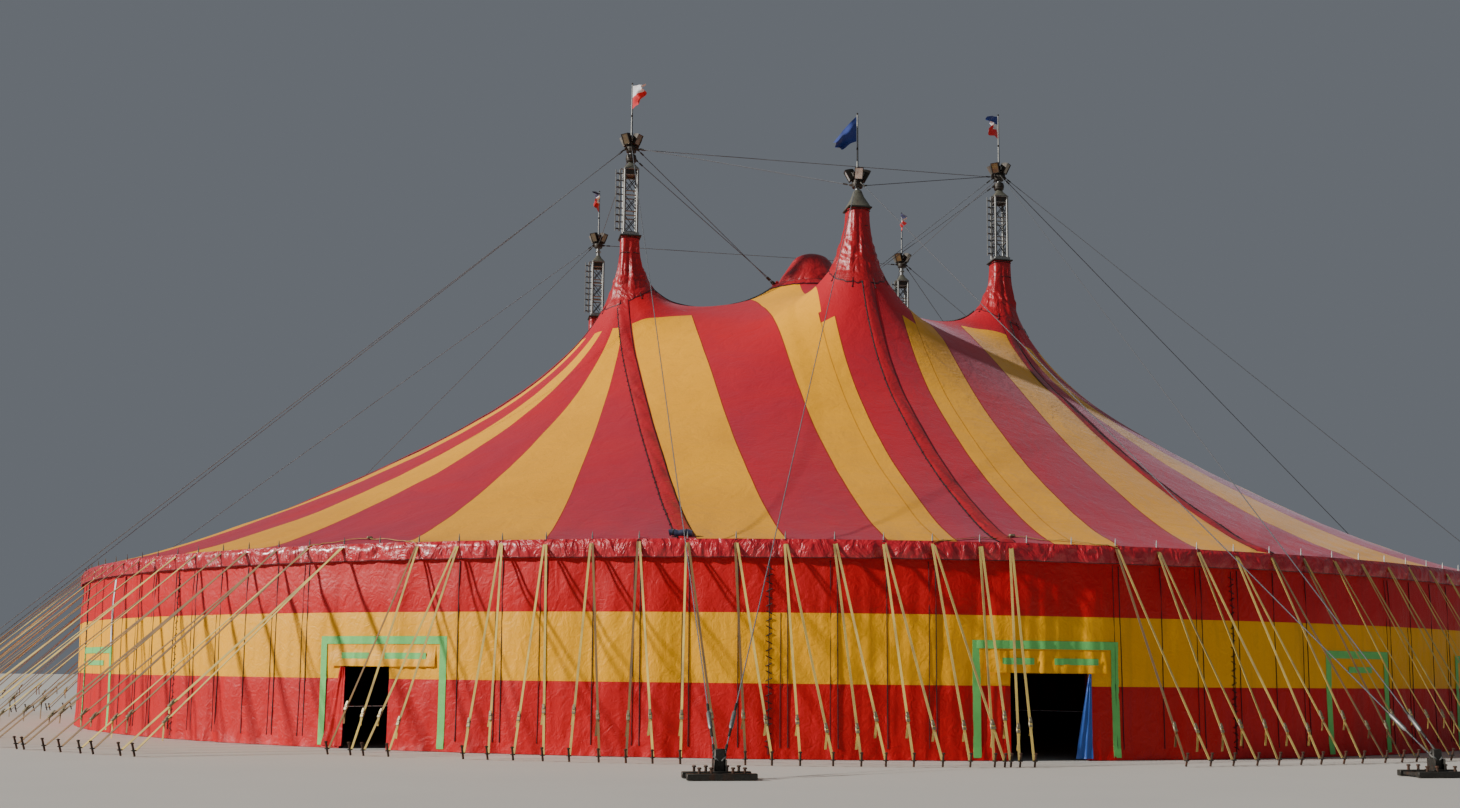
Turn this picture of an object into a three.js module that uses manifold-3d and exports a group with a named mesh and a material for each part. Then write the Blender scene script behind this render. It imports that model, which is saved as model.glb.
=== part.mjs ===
import * as THREE from "three";
import { mergeVertices } from "three/addons/utils/BufferGeometryUtils.js";
import Module from "manifold-3d";

// A round circus big top with five masts, at half of its real size, in millimetres, +Z up.
// The origin lies on the ground at the centre of the round plan. +X runs along the front pair
// of tall masts and -Y points to the front. Lengths are the real tent's metres times M.
const M = 500;
const GAP = 0.3;

// Plan and rim
const RIM_RADIUS = 26 * M;
const RIM_HEIGHT = 5 * M;
const POLE_COUNT = 144;
const RIM_SIDES = 72;
const POLE_STEP = 360 / POLE_COUNT;
const SIDE_STEP = 360 / RIM_SIDES;
const FABRIC = 0.02 * M;

// Rim belt, side poles, wall and valance
const BELT_HEIGHT = 0.08 * M;
const POLE_WIDTH = 0.06 * M;
const POLE_INSET = 0.055 * M;
const WALL = { outer: 0.02 * M, inner: 0.04 * M };
const VALANCE = { thickness: 0.012 * M, height: 0.43 * M };

// Doorways that stand open: angle of the middle from the front, half width and height
const DOOR_HEIGHT = 2.02 * M;
const LEFT_DOOR = { middle: -35.6, half: 1.6 };
const RIGHT_DOOR = { middle: 1.1, half: 2.1 };
const LONG_WALL_SEAM = 72.5;

// Hold-down straps and their stakes
const STRAP = { width: 0.07 * M, thickness: 0.02 * M, rimDrop: 0.06 * M, crotch: 0.11 };
const STAKE_RADIUS = 28.9 * M;

// Masts
const TALL_MAST = { x: 7.16 * M, y: 6.21 * M };
const FRONT_MAST_Y = 11.47 * M;
const LATTICE_HALF = 0.28 * M;
const CHORD_WIDTH = 0.07 * M;
const RUNG_WIDTH = 0.05 * M;
const RUNG_HEIGHTS = [3.6, 7.2, 10.8, 14.4].map((h) => h * M);
const MAST_PLATE = { foot: 0.9 * M, thickness: 0.05 * M };
const BRACE_START = 0.1 * M;
const TALL = { lattice: 20.3 * M, cone: 0.3 * M, coneHalf: 0.28 * M, tube: 21.35 * M, sleeve: 17.7 * M,
  flagTop: 23.65 * M, collar: 21.1 * M };
const SHORT = { lattice: 17.65 * M, cone: 0.63 * M, coneHalf: 0.43 * M, tube: 18.75 * M, sleeve: 17.59 * M,
  flagTop: 21.05 * M, collar: 18.52 * M };
const TUBE_RADIUS = 0.09 * M;
const LIGHT = { width: 0.294 * M, depth: 0.3 * M, height: 0.4 * M, reach: 0.225 * M, lift: 0.1 * M,
  tilt: 0.5 };
const FLAG = { length: 1.45 * M, height: 0.88 * M, thickness: 0.02 * M, pole: 0.03 * M, drop: 0.04 * M };

// Roof: collars round the masts, the crown ring and the curve of the fabric
const COLLAR_RADIUS = 0.8 * M;
const RING_RADIUS = 1.5 * M;
const CROWN_SPOT = new THREE.Vector2(0, -5 * M);
const FRONT_PULL = 1.394;
const BACK_PULL = 1.916;
const MIDDLE_PULL = 1.247;
const CROWN_PULL = 1.324;
const RIM_EASE = 0.266;
const RIM_EASE_HEIGHT = 1.267;
const CANVAS_TURN = -1.4;
const FRONT_SEAM = 16.5;
const SIDE_SEAM = 76.2;

// Sleeves and crown
const SLEEVE_TOP_RADIUS = 0.47 * M;
const SLEEVE_FLARE = 2.6;
const CROWN = { ringInner: 1.25 * M, below: 0.25 * M, above: 0.02 * M, domeRadius: 1.35 * M,
  domeHeight: 1.33 * M, domeSides: 20 };
// The dome's outline: shares of its radius and its height, from its foot to its top
const DOME_OUTLINE = [[1, 0], [0.89, 0.22], [0.76, 0.42], [0.64, 0.61], [0.44, 0.88], [0.22, 0.98], [0, 1]];

// Rigging and ground anchors
const CABLE_RADIUS = 0.016 * M;
const CABLE_END = 0.25 * M;
const COLLAR = { outer: 0.2 * M, start: 0.155 * M, height: 0.14 * M };
const LUG = { reach: 0.1 * M, height: 0.16 * M, foot: 0.05 * M };
const ANCHOR = { length: 1.3 * M, width: 0.7 * M, height: 0.12 * M, postLength: 0.24 * M,
  postWidth: 0.14 * M, postHeight: 0.55 * M, shackle: 0.06 * M, hook: 0.33 * M };
const PEG = { width: 0.1 * M, height: 0.5 * M, hook: 0.3 * M };
const LEFT_FRONT_ANCHOR = new THREE.Vector2(-8.2 * M, -31.3 * M);
const RIGHT_FRONT_ANCHOR = new THREE.Vector2(6.5 * M, -31.3 * M);
const DIAGONAL_PEG = new THREE.Vector2(27.6 * M, -16 * M);
const SIDE_PEG = new THREE.Vector2(31.9 * M, -3 * M);

const wasm = await Module();
wasm.setup();

const RED = new THREE.MeshStandardMaterial({ color: 0xb8202e, roughness: 0.6, metalness: 0 });
const YELLOW = new THREE.MeshStandardMaterial({ color: 0xe0b020, roughness: 0.6, metalness: 0 });
const GLOSSY_RED = new THREE.MeshStandardMaterial({ color: 0xb01824, roughness: 0.3, metalness: 0 });
const STEEL = new THREE.MeshStandardMaterial({ color: 0xa8acb0, roughness: 0.45, metalness: 0.9 });
const DARK = new THREE.MeshStandardMaterial({ color: 0x2c2c2e, roughness: 0.5, metalness: 0.4 });
const WEBBING = new THREE.MeshStandardMaterial({ color: 0xcfae50, roughness: 0.8, metalness: 0 });
const FLAG_CLOTH = new THREE.MeshStandardMaterial({ color: 0xd8d8e0, roughness: 0.8, metalness: 0 });

const tent = new THREE.Group();
tent.name = "circus_big_top";

// Turns a geometry with merged corners into a solid that can be joined and cut.
function solidOf(geometry) {
  const bare = geometry.clone();
  bare.deleteAttribute("normal");
  bare.deleteAttribute("uv");
  const merged = mergeVertices(bare, 1e-3);
  return new wasm.Manifold(new wasm.Mesh({
    numProp: 3,
    vertProperties: new Float32Array(merged.attributes.position.array),
    triVerts: new Uint32Array(merged.index.array),
  }));
}

function geometryOf(solid) {
  const mesh = solid.getMesh();
  const geometry = new THREE.BufferGeometry();
  geometry.setAttribute("position", new THREE.BufferAttribute(mesh.vertProperties, 3));
  geometry.setIndex(new THREE.BufferAttribute(mesh.triVerts, 1));
  return geometry;
}

function addPiece(name, shape, material) {
  const geometry = shape.isBufferGeometry ? shape : geometryOf(shape);
  const mesh = new THREE.Mesh(geometry, material);
  mesh.name = name;
  tent.add(mesh);
}

function joinAll(solids) {
  return solids.reduce((whole, next) => whole.add(next));
}

// A box standing on height low, reaching up to high.
function block(x, y, low, high, width, depth) {
  const geometry = new THREE.BoxGeometry(width, depth, high - low);
  geometry.translate(x, y, (low + high) / 2);
  return solidOf(geometry);
}

// A straight bar with flat sides between two points.
function bar(from, to, radius, sides = 4) {
  const along = new THREE.Vector3().subVectors(to, from);
  const geometry = new THREE.CylinderGeometry(radius, radius, along.length(), sides);
  geometry.translate(0, along.length() / 2, 0);
  const turn = new THREE.Quaternion().setFromUnitVectors(new THREE.Vector3(0, 1, 0), along.normalize());
  geometry.applyQuaternion(turn);
  geometry.translate(from.x, from.y, from.z);
  return solidOf(geometry);
}

// A cable between two points, with short end lengths so that its ends join other solids cleanly.
function cable(from, to) {
  const along = new THREE.Vector3().subVectors(to, from);
  const geometry = new THREE.CylinderGeometry(CABLE_RADIUS, CABLE_RADIUS, 1, 5, 3);
  const heights = geometry.attributes.position;
  const stops = [0, CABLE_END, along.length() - CABLE_END, along.length()];
  for (let i = 0; i < heights.count; i++) heights.setY(i, stops[Math.round((heights.getY(i) + 0.5) * 3)]);
  const turn = new THREE.Quaternion().setFromUnitVectors(new THREE.Vector3(0, 1, 0), along.normalize());
  geometry.applyQuaternion(turn);
  geometry.translate(from.x, from.y, from.z);
  return solidOf(geometry);
}

// A plate made of flat cells that share whole edges. Each cell is a list of [u, v] corners in
// anticlockwise order as seen from outside, and place gives the point on either face.
function plate(cells, place) {
  const corners = [];
  const edges = new Map();
  const key = ([u, v]) => u.toFixed(6) + "," + v.toFixed(6);
  const put = (...points) => points.forEach((p) => corners.push(p.x, p.y, p.z));
  for (const cell of cells) {
    for (let i = 1; i < cell.length - 1; i++) {
      const fan = [cell[0], cell[i], cell[i + 1]];
      put(...fan.map(([u, v]) => place(u, v, 0)));
      put(...fan.reverse().map(([u, v]) => place(u, v, 1)));
    }
    cell.forEach((start, i) => {
      const end = cell[(i + 1) % cell.length];
      if (!edges.delete(key(end) + ";" + key(start))) edges.set(key(start) + ";" + key(end), [start, end]);
    });
  }
  for (const [start, end] of edges.values()) {
    const [a, b, c, d] = [place(...start, 0), place(...end, 0), place(...end, 1), place(...start, 1)];
    put(a, c, b);
    put(a, d, c);
  }
  const geometry = new THREE.BufferGeometry();
  geometry.setAttribute("position", new THREE.Float32BufferAttribute(corners, 3));
  return mergeVertices(geometry, 1e-3);
}

// A point at an angle from the front, in degrees, positive towards +X.
function polar(angle, radius, height = 0) {
  const turn = THREE.MathUtils.degToRad(angle);
  return new THREE.Vector3(radius * Math.sin(turn), -radius * Math.cos(turn), height);
}

// The rim is a polygon with a corner at every second pole: the share of the radius at an angle.
function rimShare(angle) {
  const half = THREE.MathUtils.degToRad(SIDE_STEP / 2);
  const inSide = THREE.MathUtils.euclideanModulo(angle, SIDE_STEP) - SIDE_STEP / 2;
  return Math.cos(half) / Math.cos(THREE.MathUtils.degToRad(inSide));
}

function rimPoint(angle, radius, height) {
  return polar(angle, radius * rimShare(angle), height);
}

// The angles of an arc: its two ends and each corner of the rim between them.
function arcStops(from, to) {
  const stops = [from];
  for (let a = Math.ceil(from / SIDE_STEP + 1e-6) * SIDE_STEP; a < to - 1e-6; a += SIDE_STEP) stops.push(a);
  stops.push(to);
  return stops;
}

// A band round the rim between two angles, radii and heights.
function rimBand(stops, inner, outer, low, high) {
  const cells = [];
  for (let i = 0; i < stops.length - 1; i++) {
    const [a, b] = [stops[i], stops[i + 1]];
    cells.push([[a, low], [b, low], [b, high], [a, high]]);
  }
  return plate(cells, (angle, height, side) => rimPoint(angle, side ? inner : outer, height));
}

const halfTurn = (angle) => angle + 180;
const DOORS = [LEFT_DOOR, RIGHT_DOOR];
const inDoorway = (angle) => [...DOORS, ...DOORS.map((d) => ({ ...d, middle: halfTurn(d.middle) }))].some(
  (door) => Math.abs(THREE.MathUtils.euclideanModulo(angle - door.middle + 180, 360) - 180) < door.half);

const MASTS = {
  front_left: { x: -TALL_MAST.x, y: -TALL_MAST.y, pull: FRONT_PULL, kind: TALL },
  front_right: { x: TALL_MAST.x, y: -TALL_MAST.y, pull: FRONT_PULL, kind: TALL },
  back_left: { x: -TALL_MAST.x, y: TALL_MAST.y, pull: BACK_PULL, kind: TALL },
  back_right: { x: TALL_MAST.x, y: TALL_MAST.y, pull: BACK_PULL, kind: TALL },
  front_middle: { x: 0, y: -FRONT_MAST_Y, pull: MIDDLE_PULL, kind: SHORT },
};

// The pull of a mast or the crown on the fabric: a logarithmic peak that is nothing at the round rim.
function pullAt(x, y, mast) {
  const away = Math.hypot(x - mast.x, y - mast.y);
  const reach = Math.hypot(mast.x, mast.y);
  const mirror = (RIM_RADIUS / reach) ** 2;
  const farther = Math.hypot(x - mirror * mast.x, y - mirror * mast.y);
  return Math.log((farther * reach) / (RIM_RADIUS * away));
}

// The upper face of the roof's fabric.
function roofHeight(x, y) {
  let lift = CROWN_PULL * pullAt(x, y, CROWN_SPOT);
  for (const mast of Object.values(MASTS)) lift += mast.pull * pullAt(x, y, mast);
  const eased = lift * (1 - RIM_EASE * Math.exp(-Math.max(lift, 0) / RIM_EASE_HEIGHT));
  return RIM_HEIGHT + eased * M;
}

// The fabric's thickness measured upright, so that a steep stretch keeps its thickness.
function uprightThickness(x, y) {
  const step = 5;
  const slopeX = (roofHeight(x + step, y) - roofHeight(x - step, y)) / (2 * step);
  const slopeY = (roofHeight(x, y + step) - roofHeight(x, y - step)) / (2 * step);
  return FABRIC * Math.min(Math.sqrt(1 + slopeX * slopeX + slopeY * slopeY), 4);
}

// Round a mast, stops for the collar between two directions that run anticlockwise.
function collarStops(mast, fromDirection, toDirection, count) {
  let span = toDirection - fromDirection;
  if (span <= 0) span += 2 * Math.PI;
  const stops = [];
  for (let i = 0; i <= count; i++) {
    const turn = fromDirection + (span * i) / count;
    stops.push(new THREE.Vector2(
      mast.x + COLLAR_RADIUS * Math.cos(turn),
      mast.y + COLLAR_RADIUS * Math.sin(turn)));
  }
  return stops;
}

// The way from the middle of the crown to a mast.
const fromCrown = (mast) => new THREE.Vector2(mast.x, mast.y).sub(CROWN_SPOT);

const ROWS = { slope: 7, collar: 4, ridge: 5 };
const WEDGE_COLUMNS = 6;
const FAN_COLUMNS = 11;

// Stops along the straight seam from the rim to a collar, closer together near the mast.
function slopeStops(mast, rimEnd) {
  const away = new THREE.Vector2(rimEnd.x - mast.x, rimEnd.y - mast.y);
  const full = away.length();
  away.normalize();
  const stops = [];
  for (let i = 0; i <= ROWS.slope; i++) {
    const reach = full * (COLLAR_RADIUS / full) ** (i / ROWS.slope);
    stops.push(new THREE.Vector2(mast.x + away.x * reach, mast.y + away.y * reach));
  }
  return stops;
}

// The share of the way from a collar to the crown ring at one of the ridge's rows.
const ridgeShare = (row) => Math.sin(((Math.max(row, 0) / ROWS.ridge) * Math.PI) / 2);

// One seam as a side panel follows it: from the rim to the mast, round its collar and on to the crown.
function seamPath(mast, rimEnd, anticlockwise) {
  const slope = slopeStops(mast, rimEnd);
  const outward = Math.atan2(rimEnd.y - mast.y, rimEnd.x - mast.x);
  const inward = Math.atan2(-mast.y, -mast.x);
  const round = anticlockwise
    ? collarStops(mast, outward, inward, ROWS.collar)
    : collarStops(mast, inward, outward, ROWS.collar).reverse();
  const ringEnd = fromCrown(mast).setLength(RING_RADIUS).add(CROWN_SPOT);
  const start = round[round.length - 1];
  const ridge = [];
  for (let i = 1; i <= ROWS.ridge; i++) ridge.push(start.clone().lerp(ringEnd, ridgeShare(i)));
  return [...slope, ...round.slice(1), ...ridge];
}

// A roof panel from rows of plan points, each row from the panel's left edge to its right edge.
function roofPanel(rows) {
  const cells = [];
  for (let r = 0; r < rows.length - 1; r++)
    for (let c = 0; c < rows[r].length - 1; c++) {
      const [a, b, d, e] = [rows[r][c], rows[r][c + 1], rows[r + 1][c + 1], rows[r + 1][c]];
      cells.push([a, b, d, e].map((p) => [p.x, p.y]));
    }
  return plate(cells, (x, y, side) =>
    new THREE.Vector3(x, y, roofHeight(x, y) - side * uprightThickness(x, y)));
}

const angleOf = (p) => Math.atan2(p.x, -p.y);

// The share of a wedge's width at one of its columns, closer together at the seams.
const columnShare = (column) => (1 - Math.cos((Math.PI * column) / WEDGE_COLUMNS)) / 2;

// The pairs of masts between which panels run to the crown.
const wedges = [];

// Panels from the rim to the crown, between two masts. Seams are given from left to right.
function wedgePanel(leftMast, leftRim, rightMast, rightRim) {
  wedges.push([leftMast, rightMast]);
  const left = seamPath(leftMast, rimPoint(leftRim, RIM_RADIUS, 0), true);
  const right = seamPath(rightMast, rimPoint(rightRim, RIM_RADIUS, 0), false);
  const rows = left.map((leftEnd, r) => {
    const centre = CROWN_SPOT.clone().multiplyScalar(ridgeShare(r - ROWS.slope - ROWS.collar));
    const [start, end] = [leftEnd.clone().sub(centre), right[r].clone().sub(centre)];
    const [a, b] = [angleOf(start), angleOf(end)];
    const span = THREE.MathUtils.euclideanModulo(b - a, 2 * Math.PI);
    const inset = GAP / 2 / (start.length() * span);
    const row = [];
    for (let c = 0; c <= WEDGE_COLUMNS; c++) {
      const inside = inset + columnShare(c) * (1 - 2 * inset);
      const angle = THREE.MathUtils.radToDeg(a + span * inside);
      const reach = THREE.MathUtils.lerp(start.length(), end.length(), inside);
      const point = r === 0 ? rimPoint(angle, RIM_RADIUS, 0) : polar(angle, reach);
      row.push(new THREE.Vector2(point.x, point.y).add(centre));
    }
    return row;
  });
  return roofPanel(rows);
}

// Panels that fan out from one corner mast to the rim, between its two seams.
function fanPanel(mast, leftRim, rightRim) {
  const rimEnd = (share) => rimPoint(THREE.MathUtils.lerp(leftRim, rightRim, share), RIM_RADIUS, 0);
  const turn = (p) => Math.atan2(p.y - mast.y, p.x - mast.x);
  const collar = collarStops(mast, turn(rimEnd(0)), turn(rimEnd(1)), FAN_COLUMNS);
  const rows = [];
  for (let r = 0; r <= ROWS.slope; r++) {
    rows.push(collar.map((start, c) => {
      const end = new THREE.Vector2(rimEnd(c / FAN_COLUMNS).x, rimEnd(c / FAN_COLUMNS).y);
      const full = start.distanceTo(end) + COLLAR_RADIUS;
      const away = full * (COLLAR_RADIUS / full) ** (r / ROWS.slope);
      const point = start.clone().lerp(end, (away - COLLAR_RADIUS) / (full - COLLAR_RADIUS));
      const edge = c === 0 ? 1 : c === FAN_COLUMNS ? -1 : 0;
      const across = new THREE.Vector2(-(end.y - start.y), end.x - start.x).setLength((edge * GAP) / 2);
      return point.add(across);
    }));
  }
  return roofPanel(rows);
}

function buildRoof() {
  const rim = (angle) => angle + CANVAS_TURN;
  const { front_left, front_right, back_left, back_right, front_middle } = MASTS;
  addPiece("roof_front_left", wedgePanel(front_left, rim(-FRONT_SEAM), front_middle, rim(0)), RED);
  addPiece("roof_front_right", wedgePanel(front_middle, rim(0), front_right, rim(FRONT_SEAM)), RED);
  addPiece("roof_corner_front_right", fanPanel(front_right, rim(FRONT_SEAM), rim(SIDE_SEAM)), YELLOW);
  addPiece("roof_right", wedgePanel(front_right, rim(SIDE_SEAM), back_right, rim(180 - SIDE_SEAM)), RED);
  addPiece("roof_corner_back_right", fanPanel(back_right, rim(180 - SIDE_SEAM), rim(180 - FRONT_SEAM)), YELLOW);
  addPiece("roof_back", wedgePanel(back_right, rim(180 - FRONT_SEAM), back_left, rim(180 + FRONT_SEAM)), RED);
  addPiece("roof_corner_back_left", fanPanel(back_left, rim(180 + FRONT_SEAM), rim(180 + SIDE_SEAM)), YELLOW);
  addPiece("roof_left", wedgePanel(back_left, rim(180 + SIDE_SEAM), front_left, rim(360 - SIDE_SEAM)), RED);
  addPiece("roof_corner_front_left", fanPanel(front_left, rim(-SIDE_SEAM), rim(-FRONT_SEAM)), YELLOW);
}

// The cloth sleeve that closes the roof round a mast: wide at the collar, narrow at its top.
function buildSleeve(name, mast, seams) {
  const stops = [];
  seams.forEach((from, i) => {
    const to = seams[(i + 1) % seams.length];
    const fan = from.fan ? FAN_COLUMNS : ROWS.collar;
    const span = THREE.MathUtils.euclideanModulo(to.turn - from.turn, 2 * Math.PI);
    for (let k = 0; k < fan; k++) stops.push(from.turn + (span * k) / fan);
  });
  const flare = (share) => (1 - share) ** SLEEVE_FLARE;
  const shares = [0, 0.15, 0.4, 1];
  const cells = [];
  stops.forEach((a, i) => {
    const b = i + 1 < stops.length ? stops[i + 1] : stops[0];
    for (let r = 0; r < shares.length - 1; r++)
      cells.push([[a, shares[r]], [b, shares[r]], [b, shares[r + 1]], [a, shares[r + 1]]]);
  });
  const place = (turn, share, side) => {
    const foot = COLLAR_RADIUS - GAP;
    const radius = THREE.MathUtils.lerp(SLEEVE_TOP_RADIUS, foot, flare(share)) - side * FABRIC;
    const [x, y] = [mast.x + COLLAR_RADIUS * Math.cos(turn), mast.y + COLLAR_RADIUS * Math.sin(turn)];
    const low = roofHeight(x, y) - uprightThickness(x, y);
    return new THREE.Vector3(
      mast.x + radius * Math.cos(turn),
      mast.y + radius * Math.sin(turn),
      THREE.MathUtils.lerp(low, mast.kind.sleeve, share));
  };
  addPiece("mast_sleeve_" + name, plate(cells, place), GLOSSY_RED);
}

// The directions in which seams leave a mast, in anticlockwise order from the one to the crown.
function seamsOf(mast, rimEnds, fanAfter) {
  const inward = { turn: Math.atan2(-mast.y, -mast.x), fan: false };
  const rest = rimEnds.map((angle) => {
    const end = rimPoint(angle + CANVAS_TURN, RIM_RADIUS, 0);
    return { turn: Math.atan2(end.y - mast.y, end.x - mast.x), fan: angle === fanAfter };
  });
  const after = (s) => THREE.MathUtils.euclideanModulo(s.turn - inward.turn, 2 * Math.PI);
  rest.sort((a, b) => after(a) - after(b));
  return [inward, ...rest];
}

function buildSleeves() {
  const corner = (name, left, right) => buildSleeve(name, MASTS[name], seamsOf(MASTS[name], [left, right], left));
  corner("front_left", -SIDE_SEAM, -FRONT_SEAM);
  corner("front_right", FRONT_SEAM, SIDE_SEAM);
  corner("back_right", 180 - SIDE_SEAM, 180 - FRONT_SEAM);
  corner("back_left", 180 + FRONT_SEAM, 180 + SIDE_SEAM);
  buildSleeve("front_middle", MASTS.front_middle, seamsOf(MASTS.front_middle, [0], null));
}

// One square frame of four rungs between a mast's corner tubes.
function rungFrame(mast, height) {
  const reach = LATTICE_HALF - CHORD_WIDTH / 2;
  const rung = RUNG_WIDTH / 2;
  const [low, high] = [height - rung, height + rung];
  return [-1, 1].flatMap((side) => [
    block(mast.x, mast.y + side * reach, low, high, 2 * reach, RUNG_WIDTH),
    block(mast.x + side * reach, mast.y, low, high, RUNG_WIDTH, 2 * reach),
  ]);
}

// Slanting braces on the four faces between two heights.
function braces(mast, low, high) {
  const reach = LATTICE_HALF - CHORD_WIDTH / 2;
  const corners = [[-1, -1], [1, -1], [1, 1], [-1, 1]];
  return corners.map(([x, y], i) => {
    const [nextX, nextY] = corners[(i + 1) % 4];
    return bar(
      new THREE.Vector3(mast.x + x * reach, mast.y + y * reach, low),
      new THREE.Vector3(mast.x + nextX * reach, mast.y + nextY * reach, high),
      RUNG_WIDTH / 2);
  });
}

function buildMast(name, mast) {
  const reach = LATTICE_HALF - CHORD_WIDTH / 2;
  const top = mast.kind.lattice;
  const plateHeight = MAST_PLATE.thickness;
  const collarPlate = mast.kind.sleeve + GAP;
  const parts = [
    block(mast.x, mast.y, 0, plateHeight, MAST_PLATE.foot, MAST_PLATE.foot),
    block(mast.x, mast.y, collarPlate, collarPlate + plateHeight, 2 * SLEEVE_TOP_RADIUS, 2 * SLEEVE_TOP_RADIUS),
    block(mast.x, mast.y, top - plateHeight, top, 2 * LATTICE_HALF, 2 * LATTICE_HALF),
  ];
  for (const x of [-1, 1])
    for (const y of [-1, 1])
      parts.push(block(mast.x + x * reach, mast.y + y * reach, plateHeight / 2, top - plateHeight / 2,
        CHORD_WIDTH, CHORD_WIDTH));
  const rungHeights = [...RUNG_HEIGHTS];
  const exposed = mast.kind.sleeve + BRACE_START;
  if (exposed < top) {
    const middle = (exposed + top) / 2;
    rungHeights.push(exposed, middle);
    parts.push(...braces(mast, exposed, middle), ...braces(mast, middle, top - plateHeight / 2));
  }
  rungHeights.forEach((height) => parts.push(...rungFrame(mast, height)));
  addPiece("mast_" + name, joinAll(parts), STEEL);
}

// The head on top of a mast: hood, tube, four floodlights and a thin flagpole.
function buildHead(name, mast) {
  const { cone, coneHalf, tube, flagTop, lattice } = mast.kind;
  const foot = lattice + GAP;
  const hood = new THREE.CylinderGeometry(TUBE_RADIUS, coneHalf * Math.SQRT2, cone, 4);
  hood.rotateY(Math.PI / 4);
  hood.rotateX(Math.PI / 2);
  hood.translate(mast.x, mast.y, foot + cone / 2);
  const at = (height) => new THREE.Vector3(mast.x, mast.y, height);
  const parts = [
    solidOf(hood),
    bar(at(foot + cone / 2), at(tube), TUBE_RADIUS, 8),
    bar(at(tube - 0.1 * M), at(flagTop), FLAG.pole, 6),
  ];
  for (let i = 0; i < 4; i++) {
    const light = new THREE.BoxGeometry(LIGHT.depth, LIGHT.width, LIGHT.height);
    light.rotateY(LIGHT.tilt);
    light.translate(LIGHT.reach, 0, tube + LIGHT.lift);
    light.rotateZ(Math.PI / 4 + (i * Math.PI) / 2);
    light.translate(mast.x, mast.y, 0);
    parts.push(solidOf(light));
  }
  addPiece("mast_head_" + name, joinAll(parts), DARK);
}

// A flag flying from the top of its pole, towards +X.
function buildFlag(name, mast) {
  const top = mast.kind.flagTop - FLAG.drop;
  const start = mast.x + FLAG.pole * Math.cos(Math.PI / 6) + GAP;
  const flag = block(start + FLAG.length / 2, mast.y, top - FLAG.height, top, FLAG.length, FLAG.thickness);
  addPiece("flag_" + name, flag, FLAG_CLOTH);
}

function lathe(points, sides) {
  const geometry = new THREE.LatheGeometry(points.map(([r, z]) => new THREE.Vector2(r, z)), sides);
  geometry.rotateX(Math.PI / 2);
  return geometry;
}

const CROWN_EDGE = Array.from({ length: 24 }, (_, i) => polar(i * 15, RING_RADIUS)).map(
  (p) => roofHeight(CROWN_SPOT.x + p.x, CROWN_SPOT.y + p.y));
const CROWN_BASE = Math.max(...CROWN_EDGE);
const CROWN_LUGS = ["front_left", "front_right"];

// Steel crown ring with two lugs, and the domed cap that stands on it.
function buildCrown() {
  const [low, high] = [Math.min(...CROWN_EDGE) - CROWN.below, CROWN_BASE + CROWN.above];
  const stops = wedges.flatMap(([leftMast, rightMast]) => {
    const [from, to] = [angleOf(fromCrown(leftMast)), angleOf(fromCrown(rightMast))];
    const span = THREE.MathUtils.euclideanModulo(to - from, 2 * Math.PI);
    return [0, 1, 2, 3, 4, 5].map((column) => THREE.MathUtils.radToDeg(from + span * columnShare(column)));
  });
  const cells = stops.map((a, i) => {
    const b = stops[(i + 1) % stops.length];
    return [[a, low], [b, low], [b, high], [a, high]];
  });
  const middle = new THREE.Vector3(CROWN_SPOT.x, CROWN_SPOT.y, 0);
  const ring = solidOf(plate(cells, (angle, height, side) =>
    polar(angle, side ? CROWN.ringInner : RING_RADIUS - GAP, height).add(middle)));
  const lugs = CROWN_LUGS.map((name) => crownLug(MASTS[name], 0));
  addPiece("crown_ring", joinAll([ring, ...lugs]), STEEL);
  const foot = high + GAP;
  const curve = (radius, height) => DOME_OUTLINE.map(([wide, up]) => [radius * wide, foot + height * up]);
  const outside = curve(CROWN.domeRadius, CROWN.domeHeight);
  const inside = curve(CROWN.domeRadius - FABRIC, CROWN.domeHeight - FABRIC).reverse();
  const dome = lathe([...outside, ...inside, outside[0]], CROWN.domeSides);
  addPiece("crown_dome", dome.translate(CROWN_SPOT.x, CROWN_SPOT.y, 0), GLOSSY_RED);
}

// The upright lug on the crown ring that faces a mast, grown by a margin on every side.
function crownLug(mast, margin) {
  const direction = fromCrown(mast).normalize();
  const middle = (CROWN.domeRadius + RING_RADIUS) / 2 - 2 * GAP;
  const base = CROWN_BASE - LUG.foot;
  const depth = RING_RADIUS - CROWN.domeRadius - 12 * GAP;
  const geometry = new THREE.BoxGeometry(depth + 2 * margin, LUG.reach + 2 * margin, LUG.height + 2 * margin);
  geometry.rotateZ(Math.atan2(direction.y, direction.x));
  const spot = direction.clone().multiplyScalar(middle).add(CROWN_SPOT);
  geometry.translate(spot.x, spot.y, base + LUG.height / 2);
  return solidOf(geometry);
}

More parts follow.
